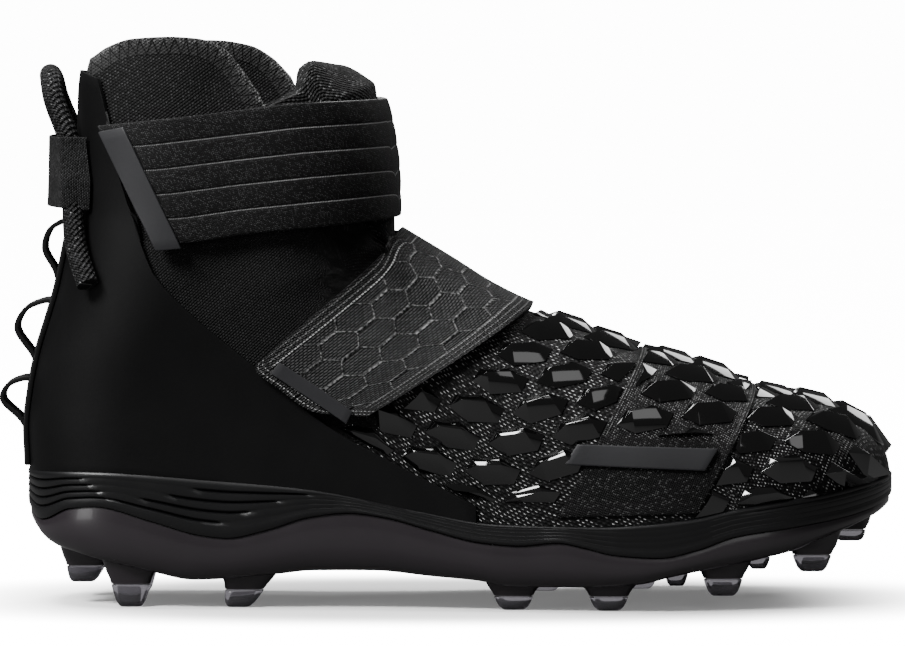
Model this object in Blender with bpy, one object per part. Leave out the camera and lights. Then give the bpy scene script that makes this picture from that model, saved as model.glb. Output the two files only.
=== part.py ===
"""High american football cleat for the right foot, in metres, +Z up, toe to +X.

The upper is one hollow shell worked out from the side view's outline and the plan's widths.
Overlays, straps and scales are cut from the same surface function.
"""

import math

import bmesh
import bpy
import numpy as np
from mathutils import Vector

MM = 0.001

# Driving sizes of the last and the sole
SOLE_LENGTH = 300 * MM
BALL_WIDTH = 95 * MM
ANKLE_WIDTH = 74 * MM
SHAFT_HEIGHT = 190 * MM
INSTEP_HEIGHT = 126 * MM
SOLE_RISE = 46 * MM
STUD_HEIGHT = 12 * MM

# Walls, clearances and thicknesses
GAP = 0.3 * MM
DRAPE_GAP = 0.9 * MM
SKIN_GAP = 0.9 * MM
SEAT_GAP = 0.6 * MM
SKIN_MARGIN = 1.0 * MM
UPPER_WALL = 2.2 * MM
COLLAR_PAD = 4.5 * MM
SHELL_THICK = 1.2 * MM
STRAP_THICK = 2.0 * MM
FOREFOOT_STRAP_THICK = 1.5 * MM
KNIT_THICK = 0.8 * MM
TAB_THICK = 1.0 * MM
SCALE_SHEET = 0.5 * MM
SCALE_RISE = 1.7 * MM
SCALE_LIFT = 1.4 * MM
TOE_SCALE_LIFT = 2.0 * MM
TONGUE_THICK = 3.0 * MM
INSOLE_THICK = 4.0 * MM
INSOLE_CLEARANCE = 1.8 * MM
INSOLE_ROUND = 0.8 * MM
PLATE_WALL = 2.5 * MM
PLATE_FLOOR = 3.0 * MM
MIDSOLE_LIP = 2.5 * MM
PLATE_LIP = 1.5 * MM
GROOVE_DEPTH = 1.0 * MM
PLATE_TURN = 2.0 * MM
PLATE_TUCK = 4.5 * MM
LIP_ROUND = 0.8 * MM
CORD_DIAMETER = 7.5 * MM
TAPE_THICK = 1.6 * MM
TAPE_WIDTH = 18 * MM
SLEEVE_THICK = 1.0 * MM
SLEEVE_MARGIN = 12 * MM
SLEEVE_REACH = 33 * MM
OVER_SHELL = SKIN_GAP + SHELL_THICK + DRAPE_GAP

# Rounding of the form, measured in from the side view's outline
ROUNDNESS = 2.3
TOE_ROUND = 50 * MM
HEEL_ROUND = 34 * MM
ANKLE_BACK_ROUND = 42 * MM
SHAFT_FRONT_ROUND = 46 * MM

# Counts of the meshes
UPPER_ROWS = 17
UPPER_COLUMNS = 15
CLOSED_SHARE = 0.58
OUTLINE_STEPS = 19
SHELL_ROWS = 7
SHELL_FRONT_COLUMNS = 9
SHELL_BACK_COLUMNS = 5
STRAP_ROWS = 4
STRAP_STEPS = 9
KNIT_STEPS = 3
TONGUE_STEPS = 6
TAPE_ROWS = 8

# length share, height share of SHAFT_HEIGHT: back of the heel, bottom to top
HEEL_BACK = (
    (0.0120, 0.210),
    (0.0120, 0.247),
    (0.0105, 0.316),
    (0.0150, 0.381),
    (0.0237, 0.450),
    (0.0353, 0.510),
    (0.0453, 0.563),
    (0.0527, 0.616),
    (0.0590, 0.665),
    (0.0660, 0.718),
    (0.0680, 0.820),
    (0.0690, 0.916),
    (0.0730, 0.972),
    (0.0800, 1.000),
)

# length share, height share of INSTEP_HEIGHT: top line from the ankle crease to the toe
RIDGE = (
    (0.420, 1.000),
    (0.483, 0.910),
    (0.533, 0.836),
    (0.580, 0.783),
    (0.625, 0.750),
    (0.666, 0.713),
    (0.700, 0.684),
    (0.737, 0.652),
    (0.780, 0.621),
    (0.830, 0.579),
    (0.863, 0.557),
    (0.915, 0.530),
    (0.955, 0.490),
    (0.978, 0.440),
    (0.9895, 0.393),
    (0.992, 0.350),
)

# height share of SHAFT_HEIGHT, length share: front of the shaft
SHAFT_FRONT = (
    (0.500, 0.420),
    (0.660, 0.420),
    (0.770, 0.419),
    (0.860, 0.412),
    (0.920, 0.402),
    (1.000, 0.385),
)

# length share, vertical rounding of the vamp as a share of INSTEP_HEIGHT
VAMP_ROUND = (
    (0.400, 0.500),
    (0.550, 0.460),
    (0.680, 0.380),
    (0.800, 0.290),
    (0.900, 0.230),
    (1.000, 0.190),
)

# length share, lateral and medial half widths as shares of BALL_WIDTH
PLAN = (
    (0.00, 0.330, 0.330),
    (0.06, 0.335, 0.335),
    (0.15, 0.350, 0.345),
    (0.25, 0.362, 0.335),
    (0.35, 0.380, 0.318),
    (0.45, 0.410, 0.330),
    (0.55, 0.450, 0.378),
    (0.65, 0.488, 0.448),
    (0.72, 0.500, 0.490),
    (0.80, 0.480, 0.505),
    (0.88, 0.435, 0.495),
    (0.95, 0.375, 0.470),
    (1.00, 0.325, 0.450),
)

# length share, heights of the sole's lines as shares of SOLE_RISE
TOP_LINE = (
    (0.000, 1.000),
    (0.075, 1.020),
    (0.224, 0.965),
    (0.332, 0.898),
    (0.455, 0.743),
    (0.543, 0.652),
    (0.654, 0.639),
    (0.762, 0.696),
    (0.811, 0.763),
    (0.918, 0.874),
    (1.000, 0.970),
)
JOINT_LINE = (
    (0.000, 0.870),
    (0.027, 0.640),
    (0.059, 0.735),
    (0.089, 0.755),
    (0.147, 0.657),
    (0.211, 0.543),
    (0.237, 0.528),
    (0.281, 0.587),
    (0.332, 0.687),
    (0.376, 0.717),
    (0.417, 0.685),
    (0.468, 0.596),
    (0.526, 0.507),
    (0.569, 0.487),
    (0.612, 0.513),
    (0.641, 0.478),
    (0.676, 0.426),
    (0.726, 0.407),
    (0.768, 0.463),
    (0.811, 0.557),
    (0.882, 0.624),
    (0.954, 0.702),
    (0.990, 0.790),
    (1.000, 0.900),
)
PLATE_LINE = (
    (0.000, 0.700),
    (0.010, 0.620),
    (0.031, 0.457),
    (0.060, 0.400),
    (0.147, 0.272),
    (0.197, 0.210),
    (0.291, 0.254),
    (0.332, 0.283),
    (0.400, 0.287),
    (0.468, 0.248),
    (0.520, 0.220),
    (0.560, 0.178),
    (0.640, 0.180),
    (0.704, 0.204),
    (0.740, 0.257),
    (0.847, 0.389),
    (0.882, 0.439),
    (0.918, 0.520),
    (0.954, 0.600),
    (0.990, 0.700),
    (1.000, 0.760),
)

# length share, height share of SHAFT_HEIGHT: the collar's hump from the back to its front corner
COLLAR_LINE = (
    (0.066, 0.978),
    (0.078, 0.986),
    (0.100, 1.008),
    (0.128, 1.023),
    (0.170, 1.027),
    (0.204, 1.024),
    (0.237, 1.002),
    (0.258, 0.962),
    (0.274, 0.925),
)

# length share, height share of SHAFT_HEIGHT: edge of the throat from its tip up to the collar
THROAT_EDGE = (
    (0.560, 0.5280),
    (0.520, 0.5540),
    (0.470, 0.5980),
    (0.420, 0.6520),
    (0.385, 0.7000),
    (0.350, 0.7600),
    (0.315, 0.8300),
    (0.285, 0.8900),
    (0.274, 0.9250),
)

# The same two lines on the medial side, which comes further forward
MEDIAL_COLLAR_LINE = (
    (0.066, 0.978),
    (0.078, 0.986),
    (0.100, 1.004),
    (0.128, 1.012),
    (0.170, 1.015),
    (0.210, 1.015),
    (0.255, 1.006),
    (0.282, 0.983),
    (0.304, 0.948),
)
MEDIAL_THROAT_EDGE = (
    (0.560, 0.5280),
    (0.520, 0.5540),
    (0.470, 0.5980),
    (0.420, 0.6520),
    (0.393, 0.7000),
    (0.368, 0.7600),
    (0.345, 0.8300),
    (0.320, 0.8960),
    (0.304, 0.9480),
)

# length share, height share of SHAFT_HEIGHT: front edge of the heel shell, bottom to top
SHELL_EDGE = (
    (0.520, 0.190),
    (0.480, 0.222),
    (0.420, 0.270),
    (0.345, 0.337),
    (0.270, 0.435),
    (0.200, 0.527),
    (0.160, 0.592),
    (0.145, 0.640),
    (0.130, 0.720),
    (0.112, 0.820),
    (0.102, 0.900),
    (0.094, 0.950),
)
SHELL_TOP = 0.962

# Ankle strap: rear end, then front, as length share, height share of SHAFT_HEIGHT
ANKLE_STRAP_TOP = ((0.100, 0.868), (0.276, 0.902), (0.328, 0.908), (0.402, 0.908))
ANKLE_STRAP_BOTTOM = ((0.163, 0.660), (0.197, 0.660), (0.265, 0.676), (0.330, 0.686), (0.420, 0.700))

# Straps over the vamp: length share and height share of INSTEP_HEIGHT of the corners, rear then front
MIDFOOT_STRAP_LOW = ((0.272, 0.672), (0.398, 0.528))
MIDFOOT_STRAP_RIDGE = (0.440, 0.580)
FOREFOOT_STRAP_LOW = ((0.611, 0.258), (0.768, 0.270))
FOREFOOT_STRAP_RIDGE = (0.707, 0.840)

# Tabs on one side: low rear, low front, high rear, high front, as length share and height share
ANKLE_TAB = ((0.163, 0.650), (0.186, 0.648), (0.098, 0.868), (0.128, 0.874))
MIDFOOT_TAB = ((0.398, 0.528), (0.405, 0.560), (0.290, 0.655), (0.300, 0.690))
FOREFOOT_TAB = ((0.628, 0.380), (0.785, 0.362), (0.642, 0.432), (0.800, 0.415))
FOREFOOT_TAB_TOP = 0.45

# Scale lattice on the surface: along the foot and down the girth, and its run of cells
LATTICE_ALONG = (0.0453 * SOLE_LENGTH, 0.0413 * INSTEP_HEIGHT)
LATTICE_DOWN = (-0.0267 * SOLE_LENGTH, 0.1048 * INSTEP_HEIGHT)
LATTICE_RUN = (-12, 21)
LATTICE_GIRTH = (-9, 11)
SCALE_BULGE = 0.3 * MM
SCALE_SHAPE = ((-0.85, -0.1), (-0.50, -0.72), (0.35, -0.62), (0.85, 0.1), (0.50, 0.72), (-0.35, 0.62))
SCALE_ROOF = ((-0.35, -0.1), (0.35, 0.1))
SCALE_REACH = 4.5 * MM
SCALE_LEAST = 2.5 * MM
SCALE_MARGIN = 1.5 * MM

# Tongue: rear edge of its wings, bottom to top, as length share, height share of SHAFT_HEIGHT
TONGUE_WING = (
    (0.536, 0.512),
    (0.460, 0.562),
    (0.405, 0.612),
    (0.360, 0.668),
    (0.322, 0.735),
    (0.290, 0.805),
    (0.262, 0.862),
    (0.246, 0.896),
)
TONGUE_TOP = 0.988
TONGUE_DEPTH = 3.8 * MM
# share along the wing, share along the front, outer and inner face off the upper's surface at the front
TONGUE = (
    (0.00, 0.00, -3.9 * MM, -6.8 * MM),
    (0.14, 0.13, -3.9 * MM, -6.8 * MM),
    (0.28, 0.26, -3.9 * MM, -7.0 * MM),
    (0.42, 0.39, -3.9 * MM, -7.4 * MM),
    (0.55, 0.52, -3.0 * MM, -7.8 * MM),
    (0.68, 0.65, -1.2 * MM, -8.5 * MM),
    (0.79, 0.76, 0.4 * MM, -10.5 * MM),
    (0.87, 0.845, 0.8 * MM, -13.0 * MM),
    (0.90, 0.873, 1.6 * MM, -15.0 * MM),
    (0.925, 0.896, 4.0 * MM, -16.0 * MM),
    (0.95, 0.93, 3.0 * MM, -16.5 * MM),
    (0.975, 0.965, 0.4 * MM, -15.5 * MM),
    (0.99, 0.99, -3.4 * MM, -13.0 * MM),
    (1.00, 1.00, -5.6 * MM, -10.4 * MM),
)

# Pull cord: height share of SHAFT_HEIGHT and y of the lateral leg, then its free arch and top
CORD_LEG = (
    (0.580, -29.0 * MM),
    (0.650, -23.3 * MM),
    (0.740, -17.9 * MM),
    (0.830, -14.8 * MM),
    (0.895, -13.5 * MM),
)
# height share, side place, distance behind the heel line
CORD_ARCH = (
    (0.9184, -11.5 * MM, 9.2 * MM),
    (0.9463, -7.0 * MM, 11.4 * MM),
    (0.9553, 0.0, 12.2 * MM),
)
SLEEVE_HEIGHTS = (0.712, 0.845)
SLEEVE_SPANS = (-1.0, -0.86, -0.70, -0.52, -0.30, 0.0, 0.30, 0.52, 0.70, 0.86, 1.0)

# Heel tape: top of the strip, then each loop's height share and how far it stands off
TAPE_TOP = 0.700
TAPE_LOOPS = (
    ((0.585, -0.0004), (0.605, 0.0016), (0.640, 0.0064), (0.675, 0.0060), (0.692, 0.0016), (0.698, -0.0004)),
    ((0.440, -0.0004), (0.456, 0.0020), (0.495, 0.0090), (0.530, 0.0082), (0.545, 0.0030), (0.546, -0.0004)),
    ((0.320, -0.0004), (0.336, 0.0020), (0.366, 0.0084), (0.392, 0.0074), (0.404, 0.0030), (0.405, -0.0004)),
)

# name, length share, side share of the half width, tip height share of STUD_HEIGHT, lean of the base
STUDS = (
    ("heel_back_lateral", 0.068, -0.42, 0.60, 2 * MM),
    ("heel_back_medial", 0.068, 0.42, 0.60, 2 * MM),
    ("heel_lateral", 0.125, -0.78, 0.00, 0 * MM),
    ("heel_medial", 0.125, 0.78, 0.00, 0 * MM),
    ("heel_front_lateral", 0.248, -0.78, 0.00, 4 * MM),
    ("heel_front_medial", 0.248, 0.78, 0.00, 4 * MM),
    ("ball_rear_lateral", 0.562, -0.82, 0.00, 0 * MM),
    ("ball_rear_medial", 0.600, 0.82, 0.00, 0 * MM),
    ("ball_lateral", 0.670, -0.84, 0.00, 0 * MM),
    ("ball_medial", 0.712, 0.84, 0.00, 0 * MM),
    ("centre_rear", 0.751, 0.00, 0.38, 0 * MM),
    ("front_lateral", 0.800, -0.82, 0.40, 0 * MM),
    ("front_medial", 0.815, 0.82, 0.50, 0 * MM),
    ("centre_front", 0.846, 0.00, 0.85, 0 * MM),
    ("toe_lateral", 0.903, -0.74, 1.00, 0 * MM),
    ("toe_medial", 0.905, 0.78, 1.05, 0 * MM),
    ("toe_tip", 0.952, 0.05, 1.65, -2 * MM),
)
# share of the stud's height up from its tip, length, width
STUD_SECTIONS = (
    (0.00, 8.0 * MM, 4.6 * MM),
    (0.12, 10.5 * MM, 6.8 * MM),
    (0.52, 13.5 * MM, 8.4 * MM),
)
BOSS_SECTIONS = (
    (0.55, 13.7 * MM, 8.6 * MM),
    (0.80, 16.5 * MM, 10.0 * MM),
)
# length, width, depth into the plate of the flare that meets the plate's underside
BOSS_FLARE = (
    (22.0 * MM, 12.5 * MM, 0.3 * MM),
    (22.4 * MM, 12.8 * MM, 1.4 * MM),
)
SMALL_STUD = 0.62
STUD_INSET = 3 * MM


def material(name, colour, roughness, metallic=0.0):
    made = bpy.data.materials.new(name)
    made.use_nodes = True
    shader = made.node_tree.nodes["Principled BSDF"]
    shader.inputs["Base Color"].default_value = (*colour, 1.0)
    shader.inputs["Roughness"].default_value = roughness
    shader.inputs["Metallic"].default_value = metallic
    return made


def add_object(name, bm, used):
    """One object from a finished bmesh, its faces turned outward and shaded smooth."""
    bmesh.ops.recalc_face_normals(bm, faces=bm.faces)
    mesh = bpy.data.meshes.new(name)
    bm.to_mesh(mesh)
    bm.free()
    mesh.materials.append(used)
    mesh.shade_smooth()
    mesh.set_sharp_from_angle(angle=math.radians(35))
    made = bpy.data.objects.new(name, mesh)
    bpy.context.scene.collection.objects.link(made)
    made.parent = bpy.data.objects["cleat"]
    return made


def along(share):
    return SOLE_LENGTH * (share - 0.5)


def length_share(x):
    return x / SOLE_LENGTH + 0.5


def slopes(xs, ys):
    """Tangents that keep a curve through the rows free of overshoot."""
    steps = np.diff(xs)
    rises = np.diff(ys) / steps
    found = np.empty(len(xs))
    found[0] = rises[0]
    found[-1] = rises[-1]
    for i in range(1, len(xs) - 1):
        before, after = rises[i - 1], rises[i]
        if before * after <= 0:
            found[i] = 0.0
            continue
        w1 = 2 * steps[i] + steps[i - 1]
        w2 = steps[i] + 2 * steps[i - 1]
        found[i] = (w1 + w2) / (w1 / before + w2 / after)
    return found


def curve_of(rows, scale_x, scale_y, column=1):
    """A function y(x) through the rows of a table."""
    xs = np.array([scale_x(row[0]) for row in rows])
    ys = np.array([scale_y * row[column] for row in rows])
    tangents = slopes(xs, ys)

    def value(x):
        x = min(max(x, xs[0]), xs[-1])
        i = min(max(int(np.searchsorted(xs, x)) - 1, 0), len(xs) - 2)
        step = xs[i + 1] - xs[i]
        t = (x - xs[i]) / step
        rest = 1 - t
        return (
            ys[i] * (1 + 2 * t) * rest * rest
            + tangents[i] * step * t * rest * rest
            + ys[i + 1] * t * t * (3 - 2 * t)
            - tangents[i + 1] * step * t * t * rest
        )

    return value


def by_height(share):
    return SHAFT_HEIGHT * share


ridge_height = curve_of(RIDGE, along, INSTEP_HEIGHT)
vamp_round = curve_of(VAMP_ROUND, along, INSTEP_HEIGHT)
lateral_width = curve_of(PLAN, along, BALL_WIDTH, 1)
medial_width = curve_of(PLAN, along, BALL_WIDTH, 2)
sole_top = curve_of(TOP_LINE, along, SOLE_RISE)
sole_joint = curve_of(JOINT_LINE, along, SOLE_RISE)
plate_bottom = curve_of(PLATE_LINE, along, SOLE_RISE)
collar_height = curve_of(COLLAR_LINE, along, SHAFT_HEIGHT)
medial_collar_height = curve_of(MEDIAL_COLLAR_LINE, along, SHAFT_HEIGHT)
heel_share = curve_of([(z, x) for x, z in HEEL_BACK], by_height, 1.0)
shaft_share = curve_of(SHAFT_FRONT, by_height, 1.0)

TOE_X = along(RIDGE[-1][0])


def heel_x(z):
    return along(heel_share(z))


def shaft_x(z):
    return along(shaft_share(z))


def smooth_step(value, low, high):
    t = min(max((value - low) / (high - low), 0.0), 1.0)
    return t * t * (3 - 2 * t)


def lerp(a, b, t):
    return a + (b - a) * t


def rounded(q):
    """Superellipse quarter: 0 at the outline, 1 once past the rounding."""
    left = max(1 - q, 0.0)
    return max(1 - left**ROUNDNESS, 0.0) ** (1 / ROUNDNESS)


def heel_round(z):
    return lerp(HEEL_ROUND, ANKLE_BACK_ROUND, smooth_step(z, 0.35 * SHAFT_HEIGHT, 0.65 * SHAFT_HEIGHT))


def closeness(x, z):
    """1 on the side view's outline, 0 where the form has its full width."""
    toe = (TOE_X - x) / TOE_ROUND
    round_here = vamp_round(x)
    top = ridge_height(x) + round_here * (1 - rounded(toe))
    over = (top - z) / round_here
    shaft = (shaft_x(z) - x) / SHAFT_FRONT_ROUND
    if over > 0 or shaft > 0:
        inner = (max(over, 0.0) ** 3 + max(shaft, 0.0) ** 3) ** (1 / 3)
    else:
        inner = max(over, shaft)
    back = (x - heel_x(z)) / heel_round(z)
    return sum(max(1 - q, 0.0) ** ROUNDNESS for q in (toe, inner, back))


def ankle_blend(x, z):
    up = smooth_step(z, 0.34 * SHAFT_HEIGHT, 0.64 * SHAFT_HEIGHT)
    behind = 1 - smooth_step(x, along(0.38), along(0.62))
    return up * behind


def centre_line(x, z):
    foot = (medial_width(x) - lateral_width(x)) / 2
    return foot * (1 - ankle_blend(x, z))


def half_width(x, z):
    foot = (medial_width(x) + lateral_width(x)) / 2
    return lerp(foot, ANKLE_WIDTH / 2, ankle_blend(x, z))


def field(point):
    x, y, z = point
    across = abs(y - centre_line(x, z)) / half_width(x, z)
    return across**ROUNDNESS + closeness(x, z) - 1


def normal_at(point):
    step = 0.25 * MM
    found = Vector((0.0, 0.0, 0.0))
    for axis in range(3):
        ahead = Vector(point)
        behind = Vector(point)
        ahead[axis] += step
        behind[axis] -= step
        found[axis] = field(ahead) - field(behind)
    return found.normalized()


def surface_point(x, z, side):
    """The point of the upper's outer face at x, z in side view; side is -1 lateral, +1 medial."""
    full = max(1 - closeness(x, z), 0.0) ** (1 / ROUNDNESS)
    return Vector((x, centre_line(x, z) + side * half_width(x, z) * full, z))


def surface(x, z, side):
    point = surface_point(x, z, side)
    return point, normal_at(point)


def heel_point(y, z):
    """The point of the heel's back at y, z in the view from behind."""
    x = heel_x(z)
    back_round = heel_round(z)
    for _ in range(6):
        across = min(abs(y - centre_line(x, z)) / half_width(x, z), 1.0)
        x = heel_x(z) + back_round * (1 - (1 - across**ROUNDNESS) ** (1 / ROUNDNESS))
    point = Vector((x, y, z))
    return point, normal_at(point)


def on_outline(x, z):
    """A point of the side view's outline, on the centre line."""
    point = Vector((x, centre_line(x, z), z))
    return point, normal_at(point)


def smooth_route(points, steps):
    """A smooth polyline through points, with so many steps between each two."""
    ends = [points[0] * 2 - points[1], *points, points[-1] * 2 - points[-2]]
    found = []
    for p0, p1, p2, p3 in zip(ends, ends[1:], ends[2:], ends[3:]):
        slope = p2 - p0
        bend = 2 * p0 - 5 * p1 + 4 * p2 - p3
        twist = 3 * p1 - p0 - 3 * p2 + p3
        for j in range(steps):
            t = j / steps
            found.append(p1 + 0.5 * (slope * t + bend * t**2 + twist * t**3))
    found.append(points[-1])
    return found


def dense(rows, scale_x, scale_y, steps=12):
    """A smooth polyline through the rows of a table."""
    return smooth_route([Vector((scale_x(a), scale_y * b)) for a, b in rows], steps)


def at_share(polyline, share):
    lengths = [0.0]
    for a, b in zip(polyline, polyline[1:]):
        lengths.append(lengths[-1] + (b - a).length)
    target = share * lengths[-1]
    i = min(max(int(np.searchsorted(lengths, target)) - 1, 0), len(polyline) - 2)
    step = lengths[i + 1] - lengths[i]
    return polyline[i].lerp(polyline[i + 1], (target - lengths[i]) / step)


def tube_of_rows(bm, rows, closed_ring=True):
    """Quads between rows of vertices, each row the same length."""
    for lower, upper in zip(rows, rows[1:]):
        count = len(lower)
        last = count if closed_ring else count - 1
        for i in range(last):
            j = (i + 1) % count
            corners = []
            for vert in (lower[i], lower[j], upper[j], upper[i]):
                if vert not in corners:
                    corners.append(vert)
            if len(corners) > 2:
                bm.faces.new(corners)


def border(rows):
    """The vertices round a grid of rows, in order."""
    down = [row[-1] for row in rows[1:-1]]
    back = [row[0] for row in reversed(rows[1:-1])]
    return [*rows[0], *down, *reversed(rows[-1]), *back]


def plate_from_grid(name, grid, low, thick, used):
    """A closed plate on the upper's face: grid of (point, normal), low and thick as functions or lengths."""
    bm = bmesh.new()

    def read(value, i, j):
        return value(i, j) if callable(value) else value

    inner = []
    outer = []
    for i, row in enumerate(grid):
        lows = [read(low, i, j) for j in range(len(row))]
        highs = [lows[j] + read(thick, i, j) for j in range(len(row))]
        inner.append([bm.verts.new(p + n * lift) for (p, n), lift in zip(row, lows)])
        outer.append([bm.verts.new(p + n * lift) for (p, n), lift in zip(row, highs)])
    tube_of_rows(bm, inner, closed_ring=False)
    tube_of_rows(bm, outer, closed_ring=False)
    tube_of_rows(bm, [border(inner), border(outer)])
    return add_object(name, bm, used)


def upper_side_points(throat_edge, collar_at):
    """Side view points of one side's rows, heel back to front, and the row where the throat starts."""
    toe = dense([row for row in reversed(RIDGE) if row[0] >= 0.56], along, INSTEP_HEIGHT)
    toe = [p for p in toe if p.y > sole_top(p.x) + SEAT_GAP]
    start = throat_edge[0]
    toe.append(Vector((along(start[0]), ridge_height(along(start[0])))))
    throat = dense(throat_edge, along, SHAFT_HEIGHT)
    throat[0] = toe[-1].copy()
    closed_rows = round(CLOSED_SHARE * UPPER_ROWS)
    feather_back = sole_top(heel_x(SOLE_RISE)) + SEAT_GAP
    collar_back = collar_height(heel_x(SHAFT_HEIGHT))
    rows = []
    for k in range(UPPER_ROWS + 1):
        share = k / UPPER_ROWS
        z_back = lerp(feather_back, collar_back, share)
        back = Vector((heel_x(z_back), z_back))
        if k <= closed_rows:
            front = at_share(toe, k / closed_rows)
            if k == 0:
                front = Vector((TOE_X, sole_top(TOE_X) + SEAT_GAP))
        else:
            front = at_share(throat, (k - closed_rows) / (UPPER_ROWS - closed_rows))
        row = []
        for j in range(UPPER_COLUMNS + 1):
            s = (1 - math.cos(math.pi * j / UPPER_COLUMNS)) / 2
            if k > closed_rows:
                s = lerp(s, math.sin(math.pi * j / UPPER_COLUMNS / 2) ** 1.3, 0.35)
            x = lerp(back.x, front.x, s)
            z = lerp(back.y, front.y, s)
            low_chord = lerp(feather_back, sole_top(TOE_X) + SEAT_GAP, s)
            x_low = lerp(heel_x(feather_back), TOE_X, s)
            z += (sole_top(x_low) + SEAT_GAP - low_chord) * (1 - share) ** 2
            top_chord = lerp(collar_back, by_height(throat_edge[-1][1]), s)
            x_top = lerp(heel_x(collar_back), along(throat_edge[-1][0]), s)
            z += (collar_at(x_top) - top_chord) * share**3
            if 0 < j < UPPER_COLUMNS or k > closed_rows:
                x = max(x, heel_x(z))
            if j == 0:
                x = heel_x(z)
            row.append((x, z))
        rows.append(row)
    return rows, closed_rows


def wall_at(z, x):
    up = smooth_step(z, 0.80 * SHAFT_HEIGHT, 0.93 * SHAFT_HEIGHT)
    behind_tongue = 1 - smooth_step(x, along(0.18), along(0.24))
    return UPPER_WALL + COLLAR_PAD * up * behind_tongue


def build_upper(used):
    lateral_rows, closed_rows = upper_side_points(THROAT_EDGE, collar_height)
    medial_rows, closed_rows = upper_side_points(MEDIAL_THROAT_EDGE, medial_collar_height)
    bm = bmesh.new()
    outer_rows = []
    inner_rows = []
    for k, (row, medial_row) in enumerate(zip(lateral_rows, medial_rows)):
        closed = k <= closed_rows
        last = UPPER_COLUMNS if closed else UPPER_COLUMNS + 1
        medial = [surface(x, z, 1) for x, z in medial_row[1:last]]
        lateral = [surface(x, z, -1) for x, z in row[1:last]]
        whole = [*reversed(medial), on_outline(*row[0]), *lateral]
        if closed:
            whole.append(on_outline(*row[-1]))
        outer = [bm.verts.new(p) for p, n in whole]
        inner = [bm.verts.new(p - n * wall_at(p.z, p.x)) for p, n in whole]
        if closed:
            outer.insert(0, outer[-1])
            inner.insert(0, inner[-1])
        outer_rows.append(outer)
        inner_rows.append(inner)
    tube_of_rows(bm, outer_rows, closed_ring=False)
    tube_of_rows(bm, inner_rows, closed_ring=False)
    tube_of_rows(bm, [outer_rows[0][1:], inner_rows[0][1:]])
    rim_out = [
        *[row[0] for row in outer_rows[closed_rows:-1]],
        *outer_rows[-1],
        *[row[-1] for row in reversed(outer_rows[closed_rows + 1 : -1])],
    ]
    rim_in = [
        *[row[0] for row in inner_rows[closed_rows:-1]],
        *inner_rows[-1],
        *[row[-1] for row in reversed(inner_rows[closed_rows + 1 : -1])],
    ]
    crown = []
    for a, b in zip(rim_out, rim_in):
        middle = (a.co + b.co) / 2
        lift = 0.4 * (a.co - b.co).length * smooth_step(middle.z, 0.82 * SHAFT_HEIGHT, 0.95 * SHAFT_HEIGHT)
        crown.append(bm.verts.new(middle + Vector((0, 0, lift))))
    tube_of_rows(bm, [rim_out, crown, rim_in])
    bmesh.ops.triangulate(bm, faces=bm.faces)
    return add_object("upper", bm, used)


def outline(offset):
    """The feather line's plan moved out by offset: pairs of a point and its station along the sole."""
    heel = heel_x(SOLE_RISE)
    lateral = []
    medial = []
    for i in range(OUTLINE_STEPS + 1):
        station = lerp(heel, TOE_X, (1 - math.cos(math.pi * i / OUTLINE_STEPS)) / 2)
        mid = (medial_width(station) - lateral_width(station)) / 2
        wide = plan_width(station)
        lateral.append((Vector((station, mid - wide)), station))
        medial.append((Vector((station, mid + wide)), station))
    ring = [*lateral, *reversed(medial[1:-1])]
    count = len(ring)
    moved = []
    for i, (point, station) in enumerate(ring):
        way = ring[(i + 1) % count][0] - ring[i - 1][0]
        outward = Vector((way.y, -way.x)).normalized()
        moved.append((point + outward * offset, station))
    return moved


def plan_width(x):
    """Half width of the plan at the feather line, rounded at heel and toe."""
    wide = (medial_width(x) + lateral_width(x)) / 2
    return wide * rounded((x - heel_x(SOLE_RISE)) / HEEL_ROUND) * rounded((TOE_X - x) / TOE_ROUND)


def ladder(bm, ring):
    """Closes a ring of plan outline points with quads from side to side."""
    count = len(ring)
    for i in range(OUTLINE_STEPS):
        corners = []
        for k in (i, i + 1, (count - i - 1) % count, (count - i) % count):
            if ring[k] not in corners:
                corners.append(ring[k])
        bm.faces.new(corners)


def sole_ring(bm, offset, height):
    """A ring of the plan; offset is a length or a function of the station."""
    plain = outline(0.0)
    moved = outline(1.0 * MM)
    ring = []
    for (p, station), (q, _) in zip(plain, moved):
        out = (offset(station) if callable(offset) else offset) / MM
        x, y = p + (q - p) * out
        ring.append(bm.verts.new((x, y, height(station))))
    return ring


def stacked(name, levels, used):
    """A closed solid from rings of (offset, height function), capped at both ends."""
    bm = bmesh.new()
    rings = [sole_ring(bm, offset, height) for offset, height in levels]
    tube_of_rows(bm, rings)
    ladder(bm, rings[0])
    ladder(bm, rings[-1])
    bmesh.ops.triangulate(bm, faces=bm.faces)
    return add_object(name, bm, used)


def plate_floor(x):
    return plate_bottom(x) + min(PLATE_FLOOR, 0.6 * (sole_joint(x) - plate_bottom(x)))


def side_height(share):
    """Height of a line on the midsole's side, between joint and top."""

    def height(x):
        return lerp(sole_joint(x) + GAP, sole_top(x), share)

    return height


def groove_offset(x):
    """The grooves run along the heel and fade out under the waist."""
    return MIDSOLE_LIP - GROOVE_DEPTH * (1 - smooth_step(x, along(0.30), along(0.42)))


def build_midsole(used):
    core = PLATE_LIP - PLATE_WALL - GAP
    levels = [
        (MIDSOLE_LIP - LIP_ROUND, side_height(1.0)),
        (MIDSOLE_LIP, side_height(0.92)),
        (MIDSOLE_LIP, side_height(0.72)),
        (groove_offset, side_height(0.66)),
        (MIDSOLE_LIP, side_height(0.60)),
        (MIDSOLE_LIP, side_height(0.42)),
        (groove_offset, side_height(0.36)),
        (MIDSOLE_LIP, side_height(0.30)),
        (MIDSOLE_LIP - 0.2 * MM, side_height(0.0)),
        (core, side_height(0.0)),
        (core, lambda x: plate_floor(x) + GAP),
    ]
    return stacked("midsole", levels, used)


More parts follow.
